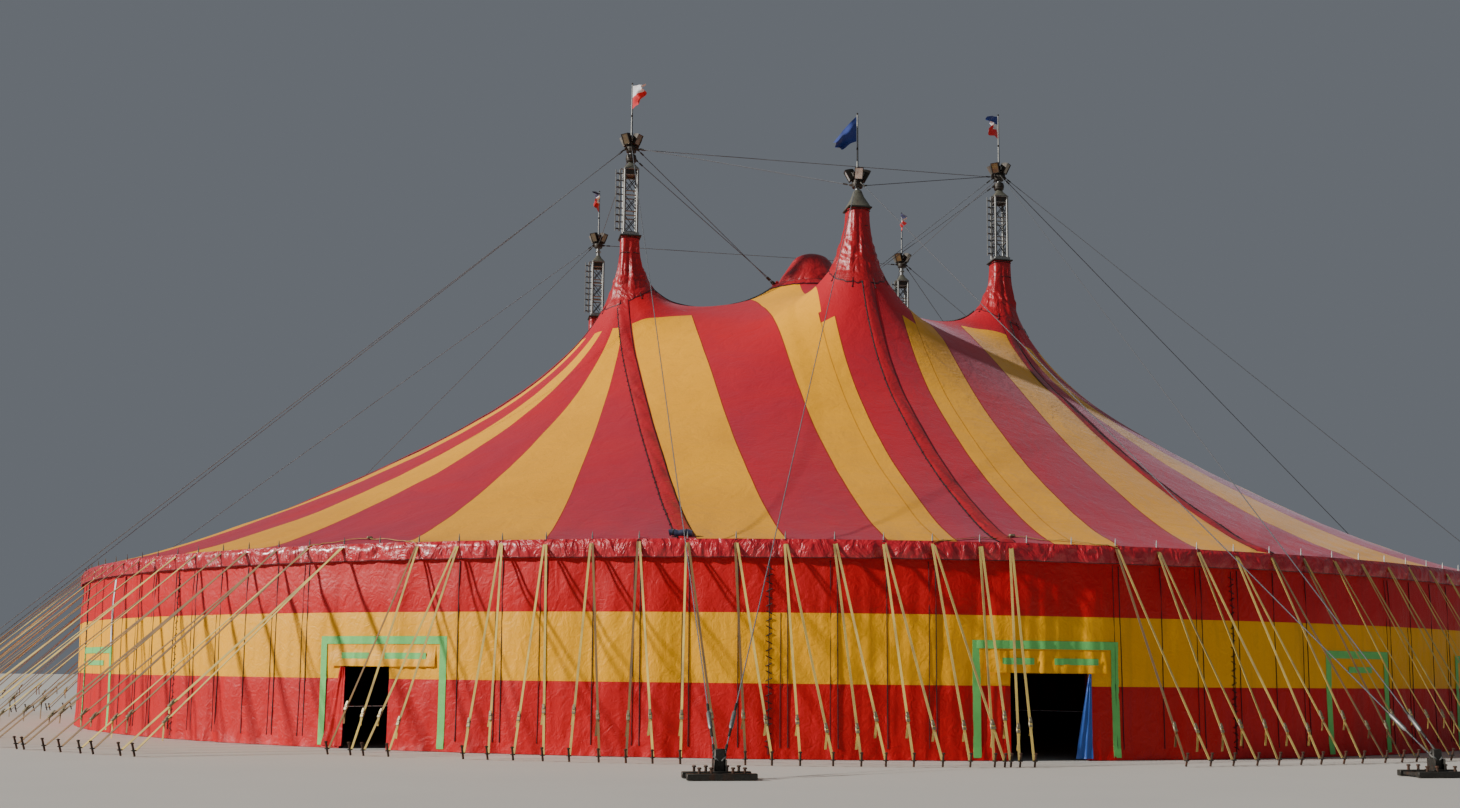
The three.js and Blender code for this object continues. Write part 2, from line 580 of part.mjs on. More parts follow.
// Wall arcs between the doorways, and the cloth over each doorway.
function buildWalls() {
  const top = RIM_HEIGHT - FABRIC - 2 * GAP - BELT_HEIGHT;
  const arc = (name, from, to, low) =>
    addPiece(name, rimBand(arcStops(from, to), RIM_RADIUS - WALL.inner, RIM_RADIUS - WALL.outer, low, top), RED);
  const edges = (door) => [door.middle - door.half, door.middle + door.half];
  const [leftStart, leftEnd] = edges(LEFT_DOOR);
  const [rightStart, rightEnd] = edges(RIGHT_DOOR);
  const seam = THREE.MathUtils.radToDeg(GAP / RIM_RADIUS);
  arc("wall_front", leftEnd, rightStart, 0);
  arc("wall_right_front", rightEnd, LONG_WALL_SEAM, 0);
  arc("wall_right_back", LONG_WALL_SEAM + seam, halfTurn(leftStart), 0);
  arc("wall_back", halfTurn(leftEnd), halfTurn(rightStart), 0);
  arc("wall_left_back", halfTurn(rightEnd), halfTurn(LONG_WALL_SEAM), 0);
  arc("wall_left_front", halfTurn(LONG_WALL_SEAM) + seam, leftStart + 360, 0);
  arc("lintel_front_left", leftStart + seam, leftEnd - seam, DOOR_HEIGHT);
  arc("lintel_front_right", rightStart + seam, rightEnd - seam, DOOR_HEIGHT);
  arc("lintel_back_right", halfTurn(leftStart) + seam, halfTurn(leftEnd) - seam, DOOR_HEIGHT);
  arc("lintel_back_left", halfTurn(rightStart) + seam, halfTurn(rightEnd) - seam, DOOR_HEIGHT);
}

// Half of the rim belt with the side poles that carry it, as one comb.
function buildPoles(name, from) {
  const top = RIM_HEIGHT - FABRIC - GAP;
  const low = top - BELT_HEIGHT;
  const half = THREE.MathUtils.radToDeg(POLE_WIDTH / 2 / RIM_RADIUS);
  const cells = [];
  const cell = (a, b, bottom, upper) => cells.push([[a, bottom], [b, bottom], [b, upper], [a, upper]]);
  const count = POLE_COUNT / 2;
  for (let i = 0; i < count; i++) {
    const angle = from + (i + 0.5) * POLE_STEP;
    const next = angle + POLE_STEP;
    cell(angle - half, angle + half, low, top);
    if (!inDoorway(angle)) cell(angle - half, angle + half, 0, low);
    if (i < count - 1) cell(angle + half, next - half, low, top);
  }
  const outer = RIM_RADIUS - POLE_INSET;
  const comb = plate(cells, (angle, height, side) => rimPoint(angle, outer - side * POLE_WIDTH, height));
  const reach = from + POLE_STEP / 2 - half;
  const lastPole = from + 180 - POLE_STEP / 2 + half;
  const beltStops = arcStops(reach, lastPole);
  const belt = rimBand(beltStops, outer - POLE_WIDTH / 2, RIM_RADIUS - GAP, low, top);
  addPiece(name, solidOf(comb).add(solidOf(belt)), STEEL);
}

function buildValance() {
  const stops = arcStops(0, 360);
  const cells = [];
  const [low, high] = [RIM_HEIGHT - VALANCE.height, RIM_HEIGHT];
  for (let i = 0; i < stops.length - 1; i++) {
    const [a, b] = [stops[i], i === stops.length - 2 ? 0 : stops[i + 1]];
    cells.push([[a, low], [b, low], [b, high], [a, high]]);
  }
  const inner = RIM_RADIUS + GAP;
  addPiece("valance", plate(cells, (angle, height, side) =>
    rimPoint(angle, inner + (side ? 0 : VALANCE.thickness), height)), GLOSSY_RED);
}

// Webbing straps in a zigzag: two from every pole, down to the stakes on either side of it.
function buildStraps(name, firstPole, lastPole) {
  const start = { radius: RIM_RADIUS + VALANCE.thickness + 2 * GAP, height: RIM_HEIGHT - STRAP.rimDrop };
  const toDegrees = (metres, share) =>
    THREE.MathUtils.radToDeg(metres / THREE.MathUtils.lerp(start.radius, STAKE_RADIUS, share));
  const cells = [];
  for (let pole = firstPole; pole <= lastPole; pole++) {
    const angle = pole * POLE_STEP;
    const topHalf = toDegrees(STRAP.width / 2, 0);
    const footHalf = toDegrees(STRAP.width / 2, 1);
    const inner = [angle, STRAP.crotch];
    for (const side of [-1, 1]) {
      if ((pole === firstPole && side < 0) || (pole === lastPole && side > 0)) continue;
      const stake = angle + (side * POLE_STEP) / 2;
      const upper = [stake, 1 - STRAP.crotch];
      const foot = stake - side * footHalf;
      const strap = [[angle, 0], inner, [foot, 1], [stake, 1], upper, [angle + side * topHalf, 0]];
      cells.push(side > 0 ? strap : strap.reverse());
    }
  }
  const place = (angle, share, side) => {
    const rim = start.radius * rimShare(angle);
    const radius = THREE.MathUtils.lerp(rim, STAKE_RADIUS, share) + (side ? 0 : STRAP.thickness);
    return polar(angle, radius, THREE.MathUtils.lerp(start.height, 0, share));
  };
  addPiece(name, plate(cells, place), WEBBING);
}

// Frames at the foot of the front and back guys: a base with an upright post.
function anchorSolid(spot, margin) {
  const grow = 2 * margin;
  return joinAll([
    block(spot.x, spot.y, 0, ANCHOR.height + margin, ANCHOR.length + grow, ANCHOR.width + grow),
    block(spot.x, spot.y, 0, ANCHOR.postHeight + margin, ANCHOR.postLength + grow, ANCHOR.postWidth + grow),
  ]);
}

// All cables: each mast has a collar round its tube, from which cables run to the next masts,
// the crown ring and the ground.
function buildRigging() {
  const collarOf = (mast) => {
    const [low, high] = [mast.kind.collar - COLLAR.height / 2, mast.kind.collar + COLLAR.height / 2];
    const inner = (TUBE_RADIUS + GAP) / Math.cos(Math.PI / 12);
    const ring = lathe([[inner, low], [COLLAR.outer, low], [COLLAR.outer, high], [inner, high], [inner, low]], 12);
    return solidOf(ring.translate(mast.x, mast.y, 0));
  };
  // The point in a mast's collar from which a cable leaves towards a spot.
  const leave = (mast, spot) => {
    const out = new THREE.Vector2(spot.x - mast.x, spot.y - mast.y).setLength(COLLAR.start);
    return new THREE.Vector3(mast.x + out.x, mast.y + out.y, mast.kind.collar);
  };
  const parts = Object.values(MASTS).map(collarOf);
  const { front_left, front_right, back_left, back_right, front_middle } = MASTS;
  const corners = [front_left, front_right, back_left, back_right];
  const pairs = [
    [front_left, front_right], [back_left, back_right], [front_left, front_middle],
    [front_middle, front_right], [front_left, back_left], [front_right, back_right]];
  pairs.forEach(([one, other]) => parts.push(cable(leave(one, other), leave(other, one))));
  const lugHeight = CROWN_BASE + LUG.height / 2 - LUG.foot / 2;
  for (const mast of CROWN_LUGS.map((name) => MASTS[name])) {
    const out = fromCrown(mast).setLength((CROWN.domeRadius + RING_RADIUS) / 2 - 2 * GAP).add(CROWN_SPOT);
    parts.push(cable(leave(mast, out), new THREE.Vector3(out.x, out.y, lugHeight)));
  }
  const opposite = (spot) => spot.clone().negate();
  const guy = (mast, spot, side) => {
    const end = new THREE.Vector3(spot.x + side * ANCHOR.shackle, spot.y, ANCHOR.hook);
    parts.push(cable(leave(mast, end), end));
  };
  guy(front_left, LEFT_FRONT_ANCHOR, -1);
  guy(front_middle, LEFT_FRONT_ANCHOR, 1);
  guy(front_middle, RIGHT_FRONT_ANCHOR, -1);
  guy(front_right, RIGHT_FRONT_ANCHOR, 1);
  guy(back_right, opposite(LEFT_FRONT_ANCHOR), 1);
  guy(back_left, opposite(RIGHT_FRONT_ANCHOR), -1);
  for (const mast of corners)
    for (const peg of [DIAGONAL_PEG, SIDE_PEG]) {
      const [x, y] = [Math.sign(mast.x) * peg.x, -Math.sign(mast.y) * peg.y];
      const spot = new THREE.Vector3(x, y, PEG.hook);
      parts.push(cable(leave(mast, spot), spot));
      const [foot, head] = [spot.clone().setZ(0), spot.clone().setZ(PEG.height)];
      parts.push(bar(foot, head, PEG.width / 2, 6));
    }
  let rigging = joinAll(parts);
  for (const name of CROWN_LUGS) rigging = rigging.subtract(crownLug(MASTS[name], GAP));
  for (const spot of [LEFT_FRONT_ANCHOR, RIGHT_FRONT_ANCHOR])
    rigging = rigging.subtract(anchorSolid(spot, GAP)).subtract(anchorSolid(opposite(spot), GAP));
  addPiece("rigging_cables", rigging, STEEL);
  addPiece("anchor_front_left", anchorSolid(LEFT_FRONT_ANCHOR, 0), STEEL);
  addPiece("anchor_front_right", anchorSolid(RIGHT_FRONT_ANCHOR, 0), STEEL);
  addPiece("anchor_back_right", anchorSolid(opposite(LEFT_FRONT_ANCHOR), 0), STEEL);
  addPiece("anchor_back_left", anchorSolid(opposite(RIGHT_FRONT_ANCHOR), 0), STEEL);
}

buildRoof();
buildSleeves();
for (const [name, mast] of Object.entries(MASTS)) {
  buildMast(name, mast);
  buildHead(name, mast);
  buildFlag(name, mast);
}
buildCrown();
buildWalls();
buildPoles("rim_belt_and_poles_right", 0);
buildPoles("rim_belt_and_poles_left", 180);
buildValance();
buildStraps("straps_front", -13, -1);
buildStraps("straps_right", 2, 57);
buildStraps("straps_back", 59, 71);
buildStraps("straps_left", 74, 129);
buildRigging();

export default tent;
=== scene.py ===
"""Looks of the circus big top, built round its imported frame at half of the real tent's size.

Sizes are the real tent's metres unless a name says otherwise, and SCALE turns them into the
model's metres when a piece is built. Angles are degrees from the front, positive towards +X.
"""

import logging
import math
from dataclasses import dataclass, field
from enum import Enum
from functools import cache
from itertools import product

import bmesh
import bpy
import numpy as np
from mathutils import Matrix, Quaternion, Vector


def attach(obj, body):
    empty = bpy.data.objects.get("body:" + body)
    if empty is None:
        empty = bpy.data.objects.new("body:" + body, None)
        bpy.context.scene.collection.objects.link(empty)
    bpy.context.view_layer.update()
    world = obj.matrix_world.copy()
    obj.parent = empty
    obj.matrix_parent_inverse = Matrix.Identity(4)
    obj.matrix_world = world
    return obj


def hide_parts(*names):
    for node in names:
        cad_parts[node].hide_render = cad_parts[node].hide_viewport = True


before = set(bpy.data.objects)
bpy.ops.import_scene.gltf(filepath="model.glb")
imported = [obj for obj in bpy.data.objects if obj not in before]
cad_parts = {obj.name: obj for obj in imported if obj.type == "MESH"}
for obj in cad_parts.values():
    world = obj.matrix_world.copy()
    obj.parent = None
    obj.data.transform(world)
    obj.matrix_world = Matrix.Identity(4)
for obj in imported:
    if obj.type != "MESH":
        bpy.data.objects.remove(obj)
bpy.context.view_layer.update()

LOG = logging.getLogger("big_top")
BODY = "root"
SCALE = 0.5

Point = tuple[float, float, float]
Color = tuple[float, float, float]
Span = tuple[float, float]
Array = np.ndarray
Values = float | Array
Place = Point | Array
Socket = bpy.types.NodeSocket


def shade(red: int, green: int, blue: int) -> Color:
    """Turn a colour as a screen shows it, 0 to 255, into the linear values of a shader."""
    parts = [value / 255 for value in (red, green, blue)]
    return tuple(p / 12.92 if p <= 0.04045 else ((p + 0.055) / 1.055) ** 2.4 for p in parts)


def cloth_noise(u: Array, v: Array, seed: int, period: int = 0) -> Array:
    """Give smooth uneven waves that are the same on every run.

    Args:
        u: First coordinate, one wave to a unit.
        v: Second coordinate, one wave to a unit.
        seed: Picks one of many such surfaces.
        period: After this many units of u the waves repeat, or 0 for never.

    Returns:
        Values from -1 to 1.
    """
    u, v = np.broadcast_arrays(u, v)
    cell_u, cell_v = np.floor(u).astype(np.int64), np.floor(v).astype(np.int64)
    ease_u, ease_v = u - cell_u, v - cell_v
    ease_u, ease_v = ease_u**2 * (3 - 2 * ease_u), ease_v**2 * (3 - 2 * ease_v)

    def corner(step_u: int, step_v: int) -> Array:
        """Give the value at one corner of each cell."""
        across = (cell_u + step_u) % period if period else cell_u + step_u
        mixed = across * 374761393 + (cell_v + step_v) * 668265263 + seed * 974634777
        mixed = ((mixed ^ (mixed >> 13)) * 1274126177) & 0x7FFFFFFF
        return ((mixed ^ (mixed >> 16)) & 0xFFFF) / 32767.5 - 1.0

    low = corner(0, 0) * (1 - ease_u) + corner(1, 0) * ease_u
    high = corner(0, 1) * (1 - ease_u) + corner(1, 1) * ease_u
    return low * (1 - ease_v) + high * ease_v


def ease(value: Array, start: float, end: float) -> Array:
    """Rise smoothly from 0 at start to 1 at end."""
    share = np.clip((np.asarray(value, float) - start) / (end - start), 0, 1)
    return share**2 * (3 - 2 * share)


def darker(color: Color, share: float) -> Color:
    """Give a share of a colour."""
    return tuple(share * part for part in color)


def unit(way: Array) -> Array:
    """Give a direction at length one."""
    return way / np.linalg.norm(way)


def leftwards(way: Array) -> Array:
    """Give the level direction to the left of another, in as many axes as it has."""
    return np.array([-way[1], way[0], 0.0])[: len(way)]


def ring(x: float, y: float, reach: Values, turn: Array, height: Values) -> Array:
    """Give points round an upright axis, by their reach, turn and height."""
    return np.stack(np.broadcast_arrays(x + reach * np.cos(turn), y + reach * np.sin(turn), height), -1)


def run_length(path: Array) -> Array:
    """Give the length from a path's start to each of its points."""
    return np.concatenate([[0], np.cumsum(np.linalg.norm(np.diff(path, axis=0), axis=1))])


def closer_up(count: int) -> Array:
    """Give shares from 1 at the rim to 0 at a mast, closer together near the mast."""
    return (np.exp(1.5 * (1 - np.linspace(0, 1, count))) - 1) / (math.exp(1.5) - 1)


def add_object(name: str, data: bpy.types.ID) -> bpy.types.Object:
    """Put an object with its data into the scene."""
    made = bpy.data.objects.new(name, data)
    bpy.context.scene.collection.objects.link(made)
    return made


class Shader:
    """The node tree of one material, with short calls for what the finishes share."""

    def __init__(self, name: str, color: Color, roughness: float, metallic: float = 0.0) -> None:
        """Make a material with its principled surface."""
        self.material = bpy.data.materials.new(name)
        self.material.use_nodes = True
        self.material.diffuse_color = (*color, 1.0)
        self.tree = self.material.node_tree
        self.surface = self.tree.nodes["Principled BSDF"]
        self.set("Base Color", (*color, 1.0))
        self.set("Roughness", roughness)
        self.set("Metallic", metallic)

    def set(self, socket: str, value: object) -> None:
        """Set a value that is the same all over the surface."""
        self.surface.inputs[socket].default_value = value

    def node(self, kind: str, inputs: dict | None = None, **settings: object) -> bpy.types.Node:
        """Add a node.

        Args:
            kind: Name of the shader node without its common prefix.
            inputs: Values or sockets for the node's inputs.
            settings: The node's own properties.

        Returns:
            The node.
        """
        made = self.tree.nodes.new("ShaderNode" + kind)
        for key, value in settings.items():
            setattr(made, key, value)
        for key, value in (inputs or {}).items():
            if isinstance(value, Socket):
                self.tree.links.new(value, made.inputs[key])
            else:
                made.inputs[key].default_value = value
        return made

    def place(self, stretch: Point = (1, 1, 1), turn: Point = (0, 0, 0)) -> Socket:
        """Give the object's coordinates, stretched and turned."""
        source = self.node("TexCoord").outputs["Object"]
        mapped = self.node("Mapping", {"Vector": source, "Scale": stretch, "Rotation": turn})
        return mapped.outputs["Vector"]

    def noise(self, scale: float, detail: float = 4, stretch: Point = (1, 1, 1), bend: float = 0,
              turn: Point = (0, 0, 0)) -> Socket:
        """Give a cloudy value from 0 to 1."""
        inputs = {"Vector": self.place(stretch, turn), "Scale": scale, "Detail": detail, "Distortion": bend}
        return self.node("TexNoise", inputs).outputs["Fac"]

    def bands(self, scale: float, axis: str, bend: float = 0) -> Socket:
        """Give even waves along one axis of the object, from 0 to 1."""
        inputs = {"Vector": self.place(), "Scale": scale, "Distortion": bend, "Detail": 1.0}
        return self.node("TexWave", inputs, bands_direction=axis).outputs["Fac"]

    def steps(self, value: Socket, low: float, high: float) -> Socket:
        """Spread the values between low and high over 0 to 1."""
        inputs = {"Value": value, "From Min": low, "From Max": high}
        return self.node("MapRange", inputs, clamp=True).outputs["Result"]

    def math(self, operation: str, first: object, second: object) -> Socket:
        """Combine two values."""
        return self.node("Math", {0: first, 1: second}, operation=operation).outputs[0]

    def blend(self, share: object, first: object, second: object) -> Socket:
        """Mix two colours by a share."""
        colors = [(*c, 1.0) if isinstance(c, tuple) else c for c in (first, second)]
        mixed = self.node("Mix", {0: share, 6: colors[0], 7: colors[1]}, data_type="RGBA")
        return mixed.outputs[2]

    def paint(self, color: Socket) -> None:
        """Use a colour that changes over the surface."""
        self.tree.links.new(color, self.surface.inputs["Base Color"])

    def polish(self, value: Socket, low: float, high: float) -> None:
        """Let the roughness run from low to high with a value."""
        spread = self.node("MapRange", {"Value": value, "To Min": low, "To Max": high}).outputs["Result"]
        self.tree.links.new(spread, self.surface.inputs["Roughness"])

    def weave(self, threads: float, depth: float) -> None:
        """Raise the crossed threads of a woven cloth."""
        self.relief(self.math("MULTIPLY", self.bands(threads, "X"), self.bands(threads, "Z")), depth)

    def relief(self, height: Socket, depth: float) -> None:
        """Raise the surface by a value, on top of any relief that it already has."""
        bump = self.node("Bump", {"Height": height, "Distance": depth, "Strength": 1.0})
        normal = self.surface.inputs["Normal"]
        if normal.is_linked:
            self.tree.links.new(normal.links[0].from_socket, bump.inputs["Normal"])
        self.tree.links.new(bump.outputs["Normal"], normal)


@dataclass(frozen=True)
class Finish:
    """A named colour, whose own class gives a shader the look of its stuff.

    The roughness and metallic here are for the classes that set none.
    """

    name: str
    color: Color
    roughness = 0.5
    metallic = 0.0

    def material(self) -> bpy.types.Material:
        """Make the material."""
        shader = Shader(self.name, self.color, self.roughness, self.metallic)
        self.dress(shader)
        return shader.material


@dataclass(frozen=True)
class Canvas(Finish):
    """Coated tent canvas: a fine weave, soft dirt, chalky fading and small creases."""

    faded: Color
    roughness: float
    crease: float = 0.006
    fade_from: float = 0.0
    fade_to: float = 0.0
    streaks: float = 0.25
    sheen: float = 0.0

    def dress(self, shader: Shader) -> None:
        """Give a shader this finish."""
        shader.set("Specular IOR Level", 0.35)
        shader.set("Sheen Weight", self.sheen)
        shader.set("Sheen Roughness", 0.35)
        shader.set("Sheen Tint", (0.72, 0.78, 1.0, 1.0))
        broad = shader.steps(shader.noise(0.55, 5, bend=0.6), 0.35, 0.7)
        worn = shader.math("MULTIPLY", broad, 0.5)
        if self.fade_to:
            up = shader.node("SeparateXYZ", {0: shader.place()}).outputs["Z"]
            low_down = shader.steps(up, self.fade_to * SCALE, self.fade_from * SCALE)
            worn = shader.math("ADD", worn, shader.math("MULTIPLY", low_down, 0.65))
        cloth = shader.blend(worn, self.color, self.faded)
        run_off = shader.steps(shader.noise(5, 6, stretch=(1.6, 1.6, 0.16), bend=0.3), 0.52, 0.75)
        dirt = darker(self.color, 0.42)
        cloth = shader.blend(shader.math("MULTIPLY", run_off, self.streaks), cloth, dirt)
        specks = shader.steps(shader.noise(34, 3), 0.62, 0.72)
        cloth = shader.blend(shader.math("MULTIPLY", specks, 0.1), cloth, dirt)
        shader.paint(cloth)
        shader.polish(shader.noise(3, 5), self.roughness - 0.07, self.roughness + 0.12)
        shader.relief(shader.noise(2.3, 5, stretch=(1, 1, 0.6), bend=1.2), self.crease * 2.5)
        shader.relief(shader.noise(9, 6, bend=1.5), self.crease)
        shader.weave(CANVAS_THREADS, 0.0002)


@dataclass(frozen=True)
class GlossyCanvas(Finish):
    """Smooth coated canvas that shines where it is crumpled."""

    crumple: float = 0.02
    coat: float = 0.2
    roughness: float = 0.3

    def dress(self, shader: Shader) -> None:
        """Give a shader this finish."""
        shader.set("Coat Weight", self.coat)
        shader.set("Coat Roughness", self.roughness - 0.04)
        dark = darker(self.color, 0.55)
        patches = shader.steps(shader.noise(1.8, 5, bend=0.8), 0.4, 0.7)
        shader.paint(shader.blend(shader.math("MULTIPLY", patches, 0.55), self.color, dark))
        shader.polish(shader.noise(5, 4), self.roughness, self.roughness + 0.2)
        folds = shader.noise(4.2, 3, stretch=(1, 1, 0.55), bend=2.2)
        shader.relief(shader.steps(folds, 0.3, 0.7), self.crumple)
        shader.relief(shader.noise(13, 5, bend=1.4), self.crumple * 0.3)
        shader.weave(CANVAS_THREADS, 0.0002)


@dataclass(frozen=True)
class PlainCloth(Finish):
    """Thin woven cloth in one colour, for flags, tapes and curtains."""

    roughness: float = 0.75
    threads: float = 160

    def dress(self, shader: Shader) -> None:
        """Give a shader this finish."""
        shader.set("Sheen Weight", 0.2)
        soiled = darker(self.color, 0.62)
        patches = shader.steps(shader.noise(7, 5, bend=0.5), 0.45, 0.75)
        shader.paint(shader.blend(shader.math("MULTIPLY", patches, 0.35), self.color, soiled))
        shader.relief(shader.noise(16, 4, bend=1.0), 0.003)
        shader.weave(self.threads, 0.0004)


@dataclass(frozen=True)
class Webbing(Finish):
    """Heavy woven strap with ribs across it and grey wear."""

    worn: Color
    roughness: float = 0.72

    def dress(self, shader: Shader) -> None:
        """Give a shader this finish."""
        shader.set("Sheen Weight", 0.3)
        grey = shader.steps(shader.noise(6, 5, stretch=(1, 1, 0.3)), 0.45, 0.7)
        shader.paint(shader.blend(grey, self.color, self.worn))
        shader.relief(shader.bands(70, "Z", 0.4), 0.0015)
        shader.relief(shader.noise(60, 3), 0.001)


@dataclass(frozen=True)
class Metal(Finish):
    """Galvanised or painted steel with a dull patchy skin, and rust where it is set."""

    roughness: float
    metallic: float
    rust: float = 0.15

    def dress(self, shader: Shader) -> None:
        """Give a shader this finish."""
        crystals = shader.node("TexVoronoi", {"Vector": shader.place(), "Scale": 45.0}).outputs["Distance"]
        dull = darker(self.color, 0.68)
        skin = shader.blend(shader.steps(crystals, 0.1, 0.75), self.color, dull)
        spots = shader.steps(shader.noise(14, 6, stretch=(1, 1, 0.4)), 0.56, 0.74)
        shader.paint(shader.blend(shader.math("MULTIPLY", spots, self.rust), skin, RUST))
        shader.polish(shader.noise(20, 4), self.roughness - 0.08, self.roughness + 0.18)
        shader.relief(shader.noise(45, 4), 0.0008)


@dataclass(frozen=True)
class Rope(Finish):
    """Twisted steel or fibre rope, with strands that run round it and painted shade in the grooves between
    them.
    """

    metallic: float = 0.0

    def dress(self, shader: Shader) -> None:
        """Give a shader this finish."""
        strands = shader.node("TexWave", {"Vector": shader.place(turn=(0.6, 0.5, 0.0)), "Scale": 60.0})
        # The darker bands between the strands are painted shade in the grooves.
        dark = darker(self.color, 0.4)
        shader.paint(shader.blend(strands.outputs["Fac"], dark, self.color))
        shader.relief(strands.outputs["Fac"], 0.002)


@dataclass(frozen=True)
class Lens(Finish):
    """Dusty glass front of a floodlight over its bright reflector."""

    roughness: float = 0.12
    metallic: float = 0.55

    def dress(self, shader: Shader) -> None:
        """Give a shader this finish."""
        shader.set("Coat Weight", 1.0)
        dusty = darker(self.color, 0.5)
        dust = shader.steps(shader.noise(12, 5), 0.4, 0.7)
        shader.paint(shader.blend(dust, self.color, dusty))
        shader.polish(dust, 0.08, 0.35)
        shader.relief(shader.bands(30, "Z"), 0.001)


@dataclass(frozen=True)
class Ground(Finish):
    """Plain pale studio floor with a faint grain."""

    roughness: float = 0.8

    def dress(self, shader: Shader) -> None:
        """Give a shader this finish."""
        grain = shader.noise(0.8, 6)
        pale = darker(self.color, 0.93)
        shader.paint(shader.blend(grain, self.color, pale))
        shader.relief(shader.noise(30, 4), 0.0008)


RUST = shade(110, 62, 36)
CANVAS_THREADS = 150


class Cloth(Enum):
    """The finishes of the tent's pieces."""

    ROOF_RED = Canvas("roof_red_canvas", shade(198, 8, 24), shade(168, 34, 56), 0.5, fade_from=5, fade_to=13,
                      streaks=0.12, sheen=0.16)
    ROOF_YELLOW = Canvas("roof_yellow_canvas", shade(255, 180, 0), shade(226, 156, 12), 0.6, fade_from=5,
                         fade_to=12, streaks=0.15, sheen=0.16)
    WALL_RED = Canvas("wall_red_canvas", shade(206, 6, 18), shade(190, 18, 28), 0.46, crease=0.009)
    WALL_YELLOW = Canvas("wall_yellow_canvas", shade(255, 184, 0), shade(244, 168, 0), 0.46, crease=0.009,
                         streaks=0.3)
    SEAM_RED = Canvas("red_seam", shade(160, 40, 22), shade(150, 48, 34), 0.55)
    SEAM_BROWN = Canvas("brown_seam", shade(214, 142, 8), shade(186, 126, 20), 0.55)
    FLAP_RED = GlossyCanvas("seam_flap_canvas", shade(178, 16, 30), crumple=0.008)
    GLOSSY_RED = GlossyCanvas("glossy_red_canvas", shade(176, 16, 28), crumple=0.014)
    VALANCE_RED = GlossyCanvas("valance_red_canvas", shade(196, 22, 40), 0.022, coat=0.55, roughness=0.24)
    # Dark hem colour of the valance, sleeves and dome; along the seam flaps' far edges it is painted shadow.
    HEM_AND_PAINTED_SHADOW = GlossyCanvas("dark_hem_and_painted_shadow", shade(78, 11, 21), crumple=0.004)
    GREEN_TAPE = PlainCloth("green_tape", shade(112, 214, 112), 0.6)
    BLUE_SHEET = PlainCloth("blue_sheet", shade(44, 96, 190), 0.4)
    BLUE_ROLL = PlainCloth("dark_blue_roll", shade(26, 34, 74), 0.6)
    WHITE_FLAG = PlainCloth("white_flag_cloth", shade(226, 226, 230))
    RED_FLAG = PlainCloth("red_flag_cloth", shade(206, 34, 44))
    BLUE_FLAG = PlainCloth("blue_flag_cloth", shade(32, 58, 140))
    NAVY_FLAG = PlainCloth("navy_flag_cloth", shade(40, 44, 84))
    STRAP = Webbing("yellow_webbing", shade(226, 196, 96), shade(176, 150, 88))
    # Brown copy of the yellow webbing: painted shade for the straps that lie in shadow.
    STRAP_PAINTED_SHADE = Webbing("webbing_painted_shade", shade(140, 102, 44), shade(108, 86, 54))
    STEEL = Metal("galvanised_steel", shade(150, 152, 150), 0.42, 0.75)
    DARK_STEEL = Metal("dark_steel", shade(70, 68, 64), 0.5, 0.6, rust=0.4)
    HOOD = Metal("grey_hood", shade(116, 116, 104), 0.55, 0.3, rust=0.2)
    LAMP_METAL = Metal("lamp_housing", shade(58, 54, 48), 0.5, 0.5, rust=0.25)
    RATCHET = Metal("ratchet_steel", shade(170, 160, 130), 0.4, 0.7, rust=0.35)
    STAKE = Metal("rusty_stake", shade(84, 62, 50), 0.7, 0.4, rust=0.8)
    CABLE = Rope("steel_cable", shade(120, 126, 134), 0.4)
    LACING = Rope("dark_lacing", shade(30, 18, 26))
    LENS = Lens("lamp_glass", shade(112, 98, 72))
    # Near-white glass: a painted reflection of the bright sky, used on the short mast's lamps.
    LENS_PAINTED_REFLECTION = Lens("lamp_glass_painted_reflection", shade(240, 240, 236))
    FLOOR = Ground("studio_floor", shade(200, 198, 192))


@cache
def dressed(cloth: Cloth) -> bpy.types.Material:
    """Give the material of a finish, which is made once."""
    return cloth.value.material()


